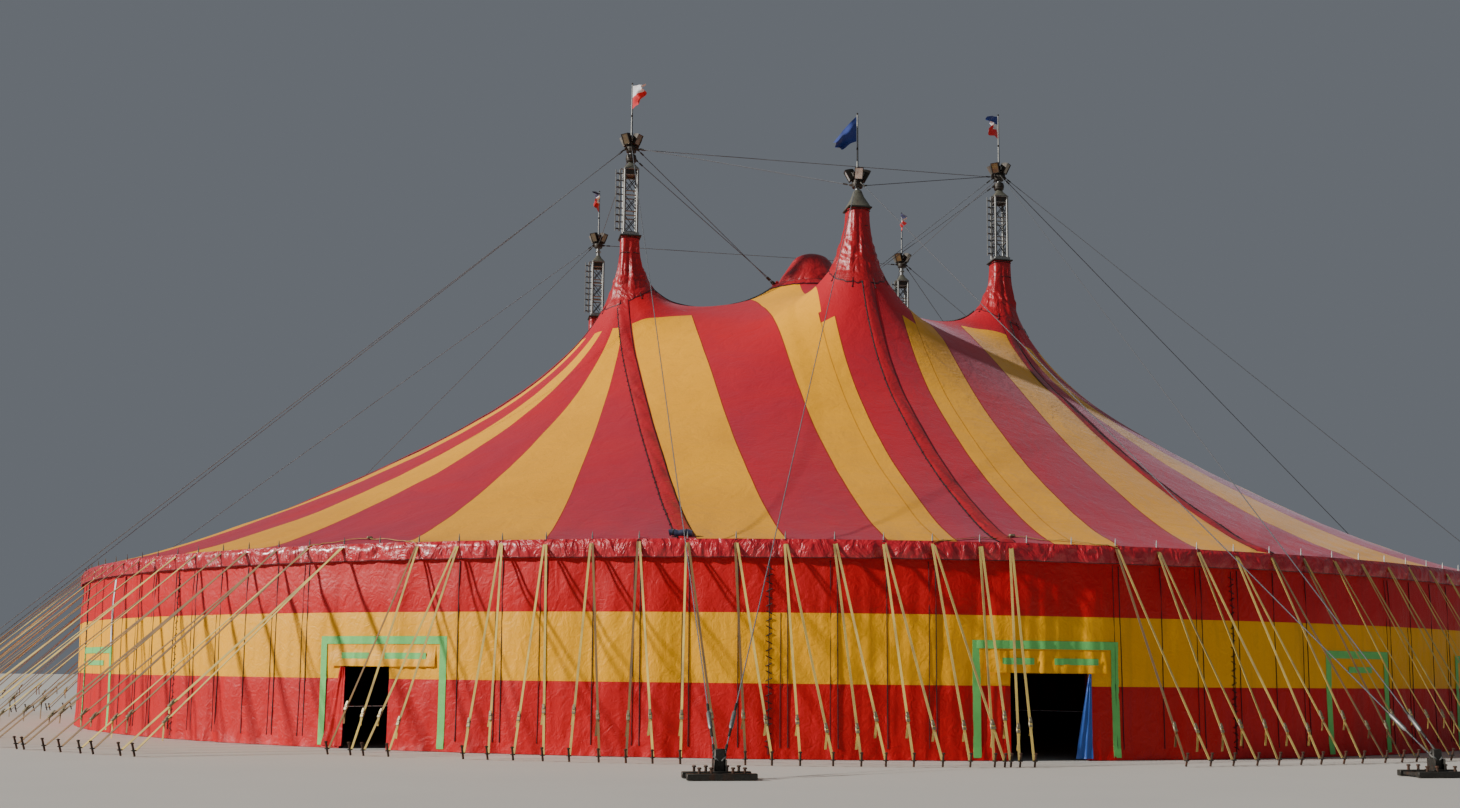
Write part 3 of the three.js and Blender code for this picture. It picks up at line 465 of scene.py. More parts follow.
class Piece:
    """Collects the points and faces of one named piece, in the real tent's metres."""

    def __init__(self, name: str, *cloths: Cloth) -> None:
        """Start a piece with its finishes, which faces name by their place in the list."""
        self.name = name
        self.cloths = list(cloths)
        self.points: list[Array] = []
        self.faces: list[tuple[int, ...]] = []
        self.slots: list[int] = []
        self.count = 0

    def add(self, points: Array, faces: list[tuple[int, ...]], slot: int | list[int] = 0) -> None:
        """Add points and faces.

        Args:
            points: The points.
            faces: Faces that count from the first of these points.
            slot: One finish, or one for each face.
        """
        start = self.count
        points = np.asarray(points, float).reshape(-1, 3)
        self.points.append(points)
        self.count += len(points)
        self.faces.extend(tuple(start + i for i in face) for face in faces)
        self.slots.extend([slot] * len(faces) if isinstance(slot, int) else slot)

    def grid(self, points: Array, slot: int | Array = 0, closed: bool = False) -> None:
        """Add a net of points.

        Args:
            points: Rows and columns of points.
            slot: One finish, or one for each cell.
            closed: Whether the last column joins the first.
        """
        rows, columns = points.shape[:2]
        wide = columns if closed else columns - 1
        r, c = np.meshgrid(np.arange(rows - 1), np.arange(wide), indexing="ij")
        n = (c + 1) % columns
        corners = [r * columns + c, r * columns + n, (r + 1) * columns + n, (r + 1) * columns + c]
        slots = np.broadcast_to(slot, (rows - 1, wide)).ravel().tolist()
        self.add(points, np.stack(corners, -1).reshape(-1, 4).tolist(), slots)

    def loft(self, rings: Array, slot: int = 0) -> None:
        """Add a skin over closed rings, and a face at each end."""
        count, sides = rings.shape[:2]
        start = self.count
        self.grid(rings, slot, closed=True)
        last = start + (count - 1) * sides
        self.faces.append(tuple(range(start + sides - 1, start - 1, -1)))
        self.faces.append(tuple(range(last, last + sides)))
        self.slots.extend([slot, slot])

    def tube(self, path: list[Place] | Array, radius: float | list[float], sides: int = 8,
             slot: int = 0) -> None:
        """Add a round or flat-sided bar along a path, closed at both ends.

        Args:
            path: Points of its axis.
            radius: One radius, or one for each point.
            sides: Number of its sides.
            slot: The finish.
        """
        path = np.asarray(path, float)
        radii = np.broadcast_to(np.asarray(radius, float), (len(path),))
        along = np.gradient(path, axis=0)
        along /= np.linalg.norm(along, axis=1, keepdims=True) + 1e-12
        side = np.cross(along[0], (0, 0, 1) if abs(along[0][2]) < 0.9 else (0, 1, 0))
        rings = []
        angles = np.arange(sides) * 2 * np.pi / sides
        for spot, way, reach in zip(path, along, radii):
            side = side - way * np.dot(side, way)
            side /= np.linalg.norm(side) + 1e-12
            other = np.cross(way, side)
            rings.append(spot + reach * (np.outer(np.cos(angles), side) + np.outer(np.sin(angles), other)))
        self.loft(np.array(rings), slot)

    def block(self, centre: Place, size: Point, bevel: float = 0.01, slot: int = 0,
              turn: Quaternion | None = None) -> None:
        """Add a box with chamfered edges.

        Args:
            centre: Its centre.
            size: Its size along its own axes.
            bevel: Width of the chamfers' legs.
            slot: The finish.
            turn: How it is turned, or None for upright.
        """
        half = np.array(size, float) / 2
        bevel = min(bevel, float(half.min()) * 0.6)
        corners = list(product((-1, 1), repeat=3))
        points = np.array([np.array(corner) * (half - bevel * (np.arange(3) != axis))
                           for corner in corners for axis in range(3)])
        faces = []

        def first(axis: int, *signs: int) -> int:
            """Give the number of the first point of the corner whose signs start at an axis."""
            return corners.index(signs[-axis:] + signs[:-axis]) * 3

        for axis in range(3):
            b, c = (axis + 1) % 3, (axis + 2) % 3
            for sign in (-1, 1):
                loop = [first(axis, sign, u, v) + axis for u, v in ((-1, -1), (1, -1), (1, 1), (-1, 1))]
                faces.append(loop[::sign])
            for u, v in product((-1, 1), repeat=2):
                low, high = first(axis, -1, u, v), first(axis, 1, u, v)
                faces.append([low + b, high + b, high + c, low + c][:: -u * v])
        for number, corner in enumerate(corners):
            faces.append([3 * number, 3 * number + 1, 3 * number + 2][:: math.prod(corner)])
        if turn is not None:
            points = points @ np.array(turn.to_matrix()).T
        self.add(points + np.array(centre, float), faces, slot)

    def lathe(self, profile: list[tuple[float, float]], x: float, y: float, sides: int = 16,
              slot: int = 0) -> None:
        """Turn an outline of radius and height pairs round an upright axis."""
        turns = np.arange(sides) * 2 * np.pi / sides
        self.grid(np.array([ring(x, y, r, turns, z) for r, z in profile]), slot, closed=True)

    def strip(self, path: Array, across: Place, out: Place, width: float, thickness: float,
              slot: int = 0) -> None:
        """Add a flat strap along a path, as a thin closed band.

        Args:
            path: Points of its middle line.
            across: Direction of its width, one or one for each point.
            out: Direction of its thickness, likewise.
            width: Its width.
            thickness: Its thickness.
            slot: The finish.
        """
        path, across, out = (np.asarray(v, float) for v in (path, across, out))
        half, deep = across * width / 2, out * thickness / 2
        rings = np.stack([path - half - deep, path + half - deep, path + half + deep, path - half + deep], 1)
        self.grid(rings, slot, closed=True)

    def mesh(self, scale: float) -> bpy.types.Mesh:
        """Make a mesh of the points and faces at a scale."""
        made = bpy.data.meshes.new(self.name)
        made.from_pydata((np.concatenate(self.points) * scale).tolist(), [], self.faces)
        for cloth in self.cloths:
            made.materials.append(dressed(cloth))
        return made

    def build(self, *replaced: str, slot: str = "", smooth: float = 42.0) -> bpy.types.Object:
        """Make the object at model size, dress it and fix it to the tent's body.

        Args:
            replaced: The frame's nodes that this piece stands for.
            slot: Name of a material slot for the piece; not used.
            smooth: Edges sharper than this many degrees stay sharp.

        Returns:
            The object.
        """
        mesh = self.mesh(SCALE)
        mesh.polygons.foreach_set("material_index", self.slots)
        made = add_object(self.name, mesh)
        tidy = bmesh.new()
        tidy.from_mesh(mesh)
        bmesh.ops.remove_doubles(tidy, verts=tidy.verts, dist=1e-5)
        bmesh.ops.recalc_face_normals(tidy, faces=tidy.faces)
        tidy.to_mesh(mesh)
        tidy.free()
        mesh.shade_smooth()
        mesh.set_sharp_from_angle(angle=math.radians(smooth))
        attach(made, BODY)
        if replaced:
            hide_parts(*replaced)
        LOG.info("%s: %d faces", self.name, len(mesh.polygons))
        return made


def cloth_area(made: bpy.types.Object) -> float:
    """Give the area of a piece's faces in the model's square metres."""
    areas = np.zeros(len(made.data.polygons))
    made.data.polygons.foreach_get("area", areas)
    return float(areas.sum())


def declare_sheet(made: bpy.types.Object, length: float) -> None:
    """Work out the area of a piece of cloth, which is cut a little wider than it hangs; the area is not used.

    Args:
        made: The piece.
        length: Length that it was cut to, in the real tent's metres; not used.
    """
    area = cloth_area(made)


@dataclass(frozen=True)
class MastKind:
    """Heights of one kind of mast, and half the widths of its hood and its sleeve's neck."""

    lattice: float
    cone: float
    cone_half: float
    tube: float
    sleeve: float
    flag_top: float
    collar: float
    neck: float


TALL = MastKind(20.3, 0.3, 0.28, 21.35, 17.7, 23.65, 21.1, 0.33)
SHORT = MastKind(17.65, 0.63, 0.385, 18.75, 17.59, 21.05, 18.52, 0.365)


@dataclass(frozen=True)
class Mast:
    """One mast: its place in the plan, its pull on the roof and its kind."""

    name: str
    x: float
    y: float
    pull: float
    kind: MastKind

    @property
    def spot(self) -> Array:
        """Give the mast's place in the plan."""
        return np.array([self.x, self.y])

    def at(self, x: float, y: float, z: float) -> Array:
        """Give a point beside the mast's axis."""
        return np.array([self.x + x, self.y + y, z])


@dataclass(frozen=True)
class Plan:
    """The tent's plan and the curve of its roof, which the frame's solids share."""

    rim_radius: float = 26.0
    rim_height: float = 5.0
    poles: int = 144
    pole_step: float = 2.5
    side_step: float = 5.0
    canvas_turn: float = -1.4
    front_seam: float = 16.5
    side_seam: float = 76.2
    collar_radius: float = 0.8
    ring_radius: float = 1.5
    crown_y: float = -5.0
    crown_pull: float = 1.324
    rim_ease: float = 0.266
    rim_ease_height: float = 1.267
    valance_height: float = 0.43

    def polar(self, angle: Values, radius: Values, height: Values = 0.0) -> Array:
        """Give the point at an angle, radius and height."""
        turn = np.radians(angle)
        parts = np.broadcast_arrays(radius * np.sin(turn), -radius * np.cos(turn), height)
        return np.stack(parts, -1)

    def rim_share(self, angle: Values) -> Array:
        """Give the rim polygon's share of the radius at an angle."""
        half = self.side_step / 2
        inside = np.mod(angle, self.side_step) - half
        return np.cos(np.radians(half)) / np.cos(np.radians(inside))

    def rim_point(self, angle: Values, radius: Values, height: Values = 0.0) -> Array:
        """Give a point beside the rim's polygon."""
        return self.polar(angle, radius * self.rim_share(angle), height)

    @property
    def crown(self) -> Array:
        """Give the crown's place in the plan."""
        return np.array([0.0, self.crown_y])

    def pull_at(self, x: Array, y: Array, spot: Array) -> Array:
        """Give the lift of the roof by one support, before its strength.

        Args:
            x: Where the lift is asked for.
            y: Likewise.
            spot: The support's place in the plan.

        Returns:
            The lift, which is 0 at the rim.
        """
        reach = math.hypot(*spot)
        mirror = (self.rim_radius / reach) ** 2 * spot
        farther = np.hypot(x - mirror[0], y - mirror[1])
        away = np.hypot(x - spot[0], y - spot[1])
        return np.log(farther * reach / (self.rim_radius * away))

    def roof(self, x: Array, y: Array) -> Array:
        """Give the height of the roof's upper face."""
        lift = self.crown_pull * self.pull_at(x, y, self.crown)
        for mast in MASTS.values():
            lift = lift + mast.pull * self.pull_at(x, y, mast.spot)
        eased = 1 - self.rim_ease * np.exp(-np.maximum(lift, 0) / self.rim_ease_height)
        return self.rim_height + lift * eased

    def creased_roof(self, x: Array, y: Array) -> Array:
        """Give the roof's height with the cloth's slack, creases and puckers."""
        angle = np.degrees(np.arctan2(x, -y))
        edge = self.rim_radius - np.hypot(x, y)
        top = np.hypot(x, y - self.crown_y)
        height = self.roof(x, y)
        held = ease(edge, 0.0, 0.5) * ease(top, self.ring_radius, self.ring_radius + 0.6)
        height = height + held * 0.035 * cloth_noise(x * 0.45, y * 0.45, 3)
        height = height + held * 0.012 * cloth_noise(x * 1.6, y * 1.6, 5)
        pins = np.cos(np.radians(angle) * 360 / self.pole_step)
        height = height + 0.03 * pins * ease(edge, 0.02, 0.35) * np.exp(-edge / 1.1)
        for number, mast in enumerate(MASTS.values()):
            reach = np.hypot(x - mast.x, y - mast.y)
            turn = np.arctan2(y - mast.y, x - mast.x) * 12 / math.pi
            wave = cloth_noise(turn, reach * 0.5, 11 + number, period=24)
            beyond = np.maximum(reach - self.collar_radius, 0)
            height = height + 0.07 * wave * ease(reach, 0.8, 1.3) * np.exp(-beyond / 1.8)
            if mast.kind is SHORT:
                height = height + held * 0.56 * np.exp(-beyond / 1.4)
        return height

    def on_roof(self, spots: Array, lift: Values = 0.0) -> Array:
        """Put places of the plan on the creased roof, or above it."""
        height = self.creased_roof(spots[..., 0], spots[..., 1]) + lift
        return np.concatenate([spots, height[..., None]], -1)


PLAN = Plan()
MASTS = {
    name: Mast(name, *place)
    for name, place in {
        "front_left": (-7.16, -6.21, 1.394, TALL),
        "front_right": (7.16, -6.21, 1.394, TALL),
        "back_left": (-7.16, 6.21, 1.916, TALL),
        "back_right": (7.16, 6.21, 1.916, TALL),
        "front_middle": (0.0, -11.47, 1.247, SHORT),
    }.items()
}
CROWN_EDGE = PLAN.polar(np.arange(24) * 15.0, PLAN.ring_radius)[:, :2] + PLAN.crown
CROWN_BASE = float(PLAN.roof(CROWN_EDGE[:, 0], CROWN_EDGE[:, 1]).max())


@dataclass(frozen=True)
class Cut:
    """A straight line across a wedge beyond which a yellow width gives way to red."""

    start: Span
    end: Span

    def beyond(self, spot: Array) -> bool:
        """Tell whether a place lies on the crown's side of the line."""
        (ax, ay), (bx, by) = self.start, self.end
        across = (bx - ax) * (spot[1] - ay) - (by - ay) * (spot[0] - ax)
        crown = (bx - ax) * (PLAN.crown_y - ay) - (by - ay) * (0 - ax)
        return across * crown > 0


@dataclass(frozen=True)
class Width:
    """One width of cloth in a wedge: the share at which it ends, its colour and its cut top."""

    end: float
    yellow: bool
    cut: Cut | None = None


FRONT_LEFT_WIDTHS = (
    Width(0.05, False),
    Width(0.325, True, Cut((-7.22, -7.94), (-5.27, -8.04))),
    Width(0.635, False),
    Width(0.80, True),
    Width(0.86, True, Cut((-1.53, -12.81), (-1.04, -12.85))),
    Width(1.0, False),
)
CROWN_PATCH = Cut((-1.5, -12.4), (-0.82, -6.5))
PATCH_FROM = 0.79
FRONT_RIGHT_WIDTHS = (
    Width(0.177, False),
    Width(0.249, True, Cut((1.29, -12.62), (1.8, -12.53))),
    Width(0.403, True),
    Width(0.708, False),
    Width(1.0, True, Cut((4.79, -7.43), (6.65, -7.7))),
)
BACK_WIDTHS = tuple(
    Width(end, number % 2 == 1) for number, end in enumerate((0.04, 0.19, 0.33, 0.47, 0.61, 0.75, 0.89, 1.0))
)
SIDE_CUT = Cut((-6.0, -8.9), (6.0, -8.9))
SIDE_WIDTHS = (
    Width(0.19, True, SIDE_CUT),
    Width(0.40, False),
    Width(0.60, True),
    Width(0.81, False),
    Width(1.0, True, SIDE_CUT),
)


@dataclass(frozen=True)
class Seam:
    """A line along which two roof panels meet, from the rim to a mast."""

    mast: Mast
    angle: float
    lean: float = 0.0

    @property
    def aim(self) -> Array:
        """Give the place beside the mast to which stripes and trim run."""
        return self.mast.spot + (self.lean, 0)

    @property
    def rim(self) -> Array:
        """Give the seam's end at the rim, in the plan."""
        return PLAN.rim_point(self.angle, PLAN.rim_radius)[:2]

    def slope(self, rows: int) -> Array:
        """Give points from the rim to the mast's collar, closer together near the mast."""
        away = self.rim - self.mast.spot
        full = float(np.linalg.norm(away))
        reach = PLAN.collar_radius + (full - PLAN.collar_radius) * closer_up(rows + 1)
        return self.mast.spot + np.outer(reach, away / full)

    def path(self, rows: int, anticlockwise: bool) -> Array:
        """Give the edge of a wedge: up the seam, round the collar and on to the crown ring."""
        slope = self.slope(rows)
        away = self.rim - self.mast.spot
        outward, inward = math.atan2(away[1], away[0]), math.atan2(-self.mast.y, -self.mast.x)
        start, end = (outward, inward) if anticlockwise else (inward, outward)
        if end <= start:
            end += 2 * math.pi
        turns = np.linspace(start, end, 13)
        round_mast = np.stack([np.cos(turns), np.sin(turns)], -1) * PLAN.collar_radius + self.mast.spot
        round_mast = round_mast if anticlockwise else round_mast[::-1]
        ring_end = PLAN.crown + unit(self.mast.spot - PLAN.crown) * PLAN.ring_radius
        ridge = round_mast[-1] + (ring_end - round_mast[-1]) * self.ridge_share()[:, None]
        return np.concatenate([slope, round_mast[1:], ridge])

    @staticmethod
    def ridge_share() -> Array:
        """Give the shares of the way from a collar to the crown ring, closer together at the ring."""
        return np.sin(np.linspace(0, 1, 41)[1:] * math.pi / 2)


def seam(mast: str, angle: float, lean: float = 0.0) -> Seam:
    """Give the seam of a mast at an angle of the canvas."""
    return Seam(MASTS[mast], angle + PLAN.canvas_turn, lean)


SEAMS = {
    "front_left_inner": seam("front_left", -PLAN.front_seam, lean=-0.43),
    "front_left_outer": seam("front_left", -PLAN.side_seam),
    "front_middle": seam("front_middle", 0),
    "front_right_inner": seam("front_right", PLAN.front_seam),
    "front_right_outer": seam("front_right", PLAN.side_seam),
    "back_right_outer": seam("back_right", 180 - PLAN.side_seam),
    "back_right_inner": seam("back_right", 180 - PLAN.front_seam),
    "back_left_inner": seam("back_left", 180 + PLAN.front_seam),
    "back_left_outer": seam("back_left", 180 + PLAN.side_seam),
}


@dataclass
class RoofCanvas:
    """The striped roof: wedges that run up to the crown, and fans that spread from corner masts."""

    seam_width: float = 0.035
    slope_rows: int = 62
    fan_yellows: tuple[Span, ...] = ((0.119, 0.259), (0.435, 0.565), (0.741, 0.881))
    fan_cuts: tuple[float, ...] = (0.9, 0.8, 0.9)
    fan_length: float = 26.0
    front_columns: int = 32
    side_columns: int = 50

    def sheet(self, piece: Piece, name: str) -> None:
        made = piece.build("roof_" + name, slot="red_canvas" if "corner" not in name else "yellow_canvas",
                           smooth=70)
        declare_sheet(made, math.sqrt(cloth_area(made)) / SCALE)

    def fan(self, corner: str, left: Seam, right: Seam) -> None:
        """Build the panel between a corner mast's two seams.

        Args:
            corner: Name of the mast.
            left: Its left seam as seen from outside.
            right: Its right seam.
        """
        mast = left.mast
        marks = sorted(edge for pair in self.fan_yellows for edge in pair)
        half = self.seam_width / self.fan_length
        shares = set(np.linspace(0, 1, 97).round(5))
        shares = {s for s in shares if all(abs(s - m) > half * 1.4 for m in marks)}
        for mark in marks:
            shares |= {mark - half / 2, mark + half / 2}
        shares = np.array(sorted(shares))
        rim = PLAN.rim_point(left.angle + (right.angle - left.angle) * shares, PLAN.rim_radius)[:, :2]
        ends = [math.atan2(*(rim[i] - mast.spot)[::-1]) for i in (0, -1)]
        if ends[1] <= ends[0]:
            ends[1] += 2 * math.pi
        turns = ends[0] + (ends[1] - ends[0]) * shares
        collar = ring(*mast.spot, PLAN.collar_radius, turns, 0.0)[:, :2]
        full = np.linalg.norm(rim - collar, axis=1)
        middle = (shares[:-1] + shares[1:]) / 2
        cut = np.interp(shares, [(a + b) / 2 for a, b in self.fan_yellows], self.fan_cuts)
        away = [cut + (full - cut) * share for share in closer_up(self.slope_rows)]
        away = np.array([*away, *(cut * share for share in np.linspace(1, 0, 9)[1:])])
        points = PLAN.on_roof(collar + (rim - collar) * (away / full)[:, :, None])
        points[0, :, 2] = PLAN.rim_height
        slots = np.zeros((len(points) - 1, len(middle)), int)
        for a, b in self.fan_yellows:
            slots[: self.slope_rows - 1, (middle > a) & (middle < b)] = 1
        for mark in marks:
            slots[: self.slope_rows - 1, np.abs(middle - mark) < half / 2] = 2
        piece = Piece("roof_panel_corner_" + corner, Cloth.ROOF_RED, Cloth.ROOF_YELLOW, Cloth.SEAM_RED)
        piece.grid(points, slots)
        self.sheet(piece, "corner_" + corner)

    def wedge(self, name: str, left: Seam, right: Seam, widths: tuple[Width, ...], quarter: int,
              patch: Cut | None = None) -> None:
        """Build the panel between two masts.

        Args:
            name: Name of the panel.
            left: Its left seam as seen from outside.
            right: Its right seam.
            widths: The widths of cloth from left to right, for the panel turned to the front.
            quarter: How many quarter turns bring the panel's widths from the front to its place.
            patch: Line up to which the last widths are yellow near the crown.
        """
        a, b = left.path(self.slope_rows, True), right.path(self.slope_rows, False)
        ridge = Seam.ridge_share()
        centre = np.zeros((len(a), 2))
        centre[-len(ridge):] = ridge[:, None] * PLAN.crown
        a, b = a - centre, b - centre
        angle_a, angle_b = np.arctan2(a[:, 0], -a[:, 1]), np.arctan2(b[:, 0], -b[:, 1])
        span = np.mod(angle_b - angle_a, 2 * np.pi)
        columns = self.side_columns if quarter % 2 else self.front_columns
        even = np.linspace(0, 1, columns + 1)
        share = (1 - np.cos(math.pi * even)) / 2 * 0.35 + even * 0.65
        angle = np.degrees(angle_a[:, None] + span[:, None] * share)
        reach_a, reach_b = np.linalg.norm(a, axis=1), np.linalg.norm(b, axis=1)
        reach = reach_a[:, None] * (1 - share) + reach_b[:, None] * share
        spots = PLAN.polar(angle, reach)[..., :2] + centre[:, None]
        spots[0] = PLAN.rim_point(angle[0], PLAN.rim_radius)[:, :2]
        points = PLAN.on_roof(spots)
        points[0, :, 2] = PLAN.rim_height
        piece = Piece("roof_panel_" + name, Cloth.ROOF_RED, Cloth.ROOF_YELLOW, Cloth.SEAM_RED,
                      Cloth.SEAM_BROWN)
        piece.grid(points)
        self.cut_widths(piece, left, right, widths, quarter, patch)
        self.sheet(piece, name)

    def cut_widths(self, piece: Piece, left: Seam, right: Seam, widths: tuple[Width, ...],
                   quarter: int, patch: Cut | None) -> None:
        """Cut a wedge's net along the edges of its widths and colour its cells.

        Args:
            piece: The wedge, whose net is replaced. All else is as for the wedge.
        """
        turn = np.array(Matrix.Rotation(-quarter * math.pi / 2, 2))
        lines = [(turn @ s.rim, turn @ s.aim) for s in (left, right)]
        mesh = piece.mesh(1.0)
        net = bmesh.new()
        net.from_mesh(mesh)
        bpy.data.meshes.remove(mesh)

        def edges_at(y: float) -> list[float]:
            """Give where the wedge's two edges lie, turned to the front."""
            return [p[0] + (q[0] - p[0]) * (y - p[1]) / (q[1] - p[1]) for p, q in lines]

        def across(share: float) -> list[Array]:
            """Give two plan places, turned to the front, on the line at a share."""
            return [np.array([a + (b - a) * share, y]) for y in (-25.0, -6.0) for a, b in [edges_at(y)]]

        def slit(start: Array, end: Array, shift: float = 0.0) -> None:
            """Cut the net along an upright plane through two places of the plan."""
            one, two = turn.T @ start, turn.T @ end
            normal = leftwards(unit(two - one))
            foot = one + normal * shift
            bmesh.ops.bisect_plane(net, geom=[*net.verts, *net.edges, *net.faces], dist=1e-5,
                                   plane_co=(*foot, 0), plane_no=(*normal, 0))

        for width in widths[:-1]:
            for side in (-1, 1):
                slit(*across(width.end), shift=side * self.seam_width / 2)
        for width in widths:
            if width.cut:
                slit(np.array(width.cut.start), np.array(width.cut.end))
        if patch:
            slit(np.array(patch.start), np.array(patch.end))
        net.verts.ensure_lookup_table()
        piece.points = [np.array([v.co for v in net.verts])]
        piece.faces = [tuple(v.index for v in f.verts) for f in net.faces]
        piece.count = len(net.verts)
        piece.slots = []
        for face in net.faces:
            spot = turn @ np.array(face.calc_center_median()[:2])
            a, b = edges_at(spot[1])
            share = (spot[0] - a) / (b - a)
            patched = patch and share > PATCH_FROM and spot[1] > patch.start[1] and not patch.beyond(spot)
            piece.slots.append(1 if patched else self.color_at(share, spot, widths, abs(b - a)))
        net.free()

    def color_at(self, share: float, spot: Array, widths: tuple[Width, ...], span: float) -> int:
        """Give the finish of a place of a wedge that is turned to the front.

        Args:
            share: The place's share of the way from the left edge to the right one.
            spot: The place.
            widths: The wedge's widths of cloth.
            span: Distance between the two edges there.

        Returns:
            The number of the finish: red, yellow, or a seam that is red or brown.
        """
        def yellow(width: Width) -> bool:
            """Tell whether a width is yellow at the place."""
            return width.yellow and not (width.cut and width.cut.beyond(spot))

        half = self.seam_width * 0.49 / span
        for width, following in zip(widths, widths[1:]):
            if share <= width.end - half:
                return 1 if yellow(width) else 0
            if share <= width.end + half:
                return (0, 2, 3)[yellow(width) + yellow(following)]
        return 1 if yellow(widths[-1]) else 0

    def build(self) -> None:
        """Build the nine panels."""
        for name, left, right, widths, quarter, patch in (
            ("front_left", "front_left_inner", "front_middle", FRONT_LEFT_WIDTHS, 0, CROWN_PATCH),
            ("front_right", "front_middle", "front_right_inner", FRONT_RIGHT_WIDTHS, 0, None),
            ("back", "back_right_inner", "back_left_inner", BACK_WIDTHS, 2, None),
            ("right", "front_right_outer", "back_right_outer", SIDE_WIDTHS, 1, None),
            ("left", "back_left_outer", "front_left_outer", SIDE_WIDTHS, 3, None),
        ):
            self.wedge(name, SEAMS[left], SEAMS[right], widths, quarter, patch)
        for corner, left, right in (("front_right", "inner", "outer"), ("back_right", "outer", "inner"),
                                    ("back_left", "inner", "outer"), ("front_left", "outer", "inner")):
            self.fan(corner, SEAMS[f"{corner}_{left}"], SEAMS[f"{corner}_{right}"])


@dataclass
class SeamTrim:
    """The flaps, lacing and ropes that cover the seams of the roof."""

    flap_width: float = 0.38
    loop_step: float = 0.42
    flaps_to_left: tuple[str, ...] = ("front_right_inner", "back_left_inner", "front_left_outer",
                                      "back_right_outer")

    def frame_at(self, line: Seam, count: int) -> tuple[Array, Array]:
        """Give plan points from the rim to the sleeve, and the level direction to the seam's left."""
        away = line.rim - line.aim
        full = float(np.linalg.norm(away))
        way = away / full
        share = np.linspace(1, 0, count) ** 1.3
        reach = PLAN.collar_radius + 0.12 + (full - PLAN.collar_radius - 0.13) * share
        return line.aim + np.outer(reach, way), -leftwards(way)

    def flap(self, name: str, line: Seam, side: int, seed: int) -> None:
        """Lay one wrinkled strip of canvas over a seam, with painted shadow along its far edge.

        Args:
            name: Name of the seam.
            line: The seam.
            side: 1 for a strip that lies to the seam's left, -1 for its right.
            seed: Picks its wrinkles.
        """
        spots, left = self.frame_at(line, 150)
        along = run_length(spots)
        share = np.array([0, 0.12, 0.25, 0.38, 0.5, 0.62, 0.74, 0.86, 0.955, 1.0])
        place = spots[:, None] + left * side * (share * self.flap_width - 0.03)[None, :, None]
        slant = along[:, None] * 1.5 + share * 3.2
        rise = 0.03 + 0.022 * np.sin(np.pi * share) + 0.018 * cloth_noise(slant, share * 1.2, seed)
        rise[:, [0, -1]] = (0.012, 0.03)
        points = PLAN.on_roof(place, rise)
        points[0, :, 2] = PLAN.rim_height + 0.012
        piece = Piece("seam_flap_" + name, Cloth.FLAP_RED, Cloth.HEM_AND_PAINTED_SHADOW)
        slots = np.zeros((len(spots) - 1, len(share) - 1), int)
        # The last column takes the dark hem colour as painted shadow along the flap's far edge.
        slots[:, -1] = 1
        piece.grid(points, slots)
        declare_sheet(piece.build(smooth=80), along[-1])

    def lacing(self, piece: Piece, line: Seam, side: int) -> None:
        """Run a cord along a seam, on the flap's bare side, with a loop at every pair of eyelets."""
        spots, left = self.frame_at(line, 110)
        spots = spots - left * side * 0.05
        piece.tube(PLAN.on_roof(spots, 0.014), 0.016, 6)
        along = run_length(spots)
        for number, stop in enumerate(np.arange(0.5, along[-1], self.loop_step)):
            middle = np.array([np.interp(stop, along, spots[:, axis]) for axis in (0, 1)])
            lean = 0.05 if number % 2 else -0.05
            way = unit(spots[0] - spots[-1])
            ends = np.array([middle - left * 0.035 + way * lean, middle, middle + left * 0.035 - way * lean])
            piece.tube(PLAN.on_roof(ends, 0.022), 0.011, 4)

    def ridge(self, piece: Piece, mast: Mast) -> None:
        """Lay the laced rope on the ridge from a sleeve to the crown ring."""
        way = PLAN.crown - mast.spot
        full = float(np.linalg.norm(way))
        way /= full
        stops = np.linspace(PLAN.collar_radius + 0.2, full - PLAN.ring_radius - 0.02, 70)
        spots = mast.spot + np.outer(stops, way)
        path = PLAN.on_roof(spots + 0.012 * np.sin(stops * 9)[:, None] * leftwards(way), 0.03)
        piece.tube(path, 0.035, 6)
        for middle in path[2:68:3]:
            side = np.array([*leftwards(way), 0]) * 0.11
            drop = np.array([0, 0, 0.045])
            piece.tube([middle - side - drop, middle + drop * 0.3, middle + side - drop], 0.012, 4)

    def roll(self) -> None:
        """Tie a dark roll of cloth to the rim where the front left seam ends."""
        piece = Piece("rolled_cloth_at_rim", Cloth.BLUE_ROLL, Cloth.LACING)
        angles = np.linspace(-18.5, -17.3, 12)
        path = PLAN.rim_point(angles, 25.86, 5.15 + 0.012 * np.sin(np.arange(12)))
        piece.tube(path, 0.075 + 0.008 * np.cos(np.arange(12) * 2.1), 12)
        for stop in (2, 8):
            step = (path[stop + 1] - path[stop]) * 0.2
            piece.tube([path[stop] - step, path[stop], path[stop] + step], 0.086, 12, slot=1)
        piece.build()

    def build(self) -> None:
        """Build all flaps and cords."""
        cords = Piece("seam_lacing", Cloth.LACING)
        for number, (name, line) in enumerate(SEAMS.items()):
            side = 1 if name in self.flaps_to_left else -1
            self.flap(name, line, side, 31 + number)
            self.lacing(cords, line, side)
        for mast in MASTS.values():
            self.ridge(cords, mast)
        cords.build()
        self.roll()


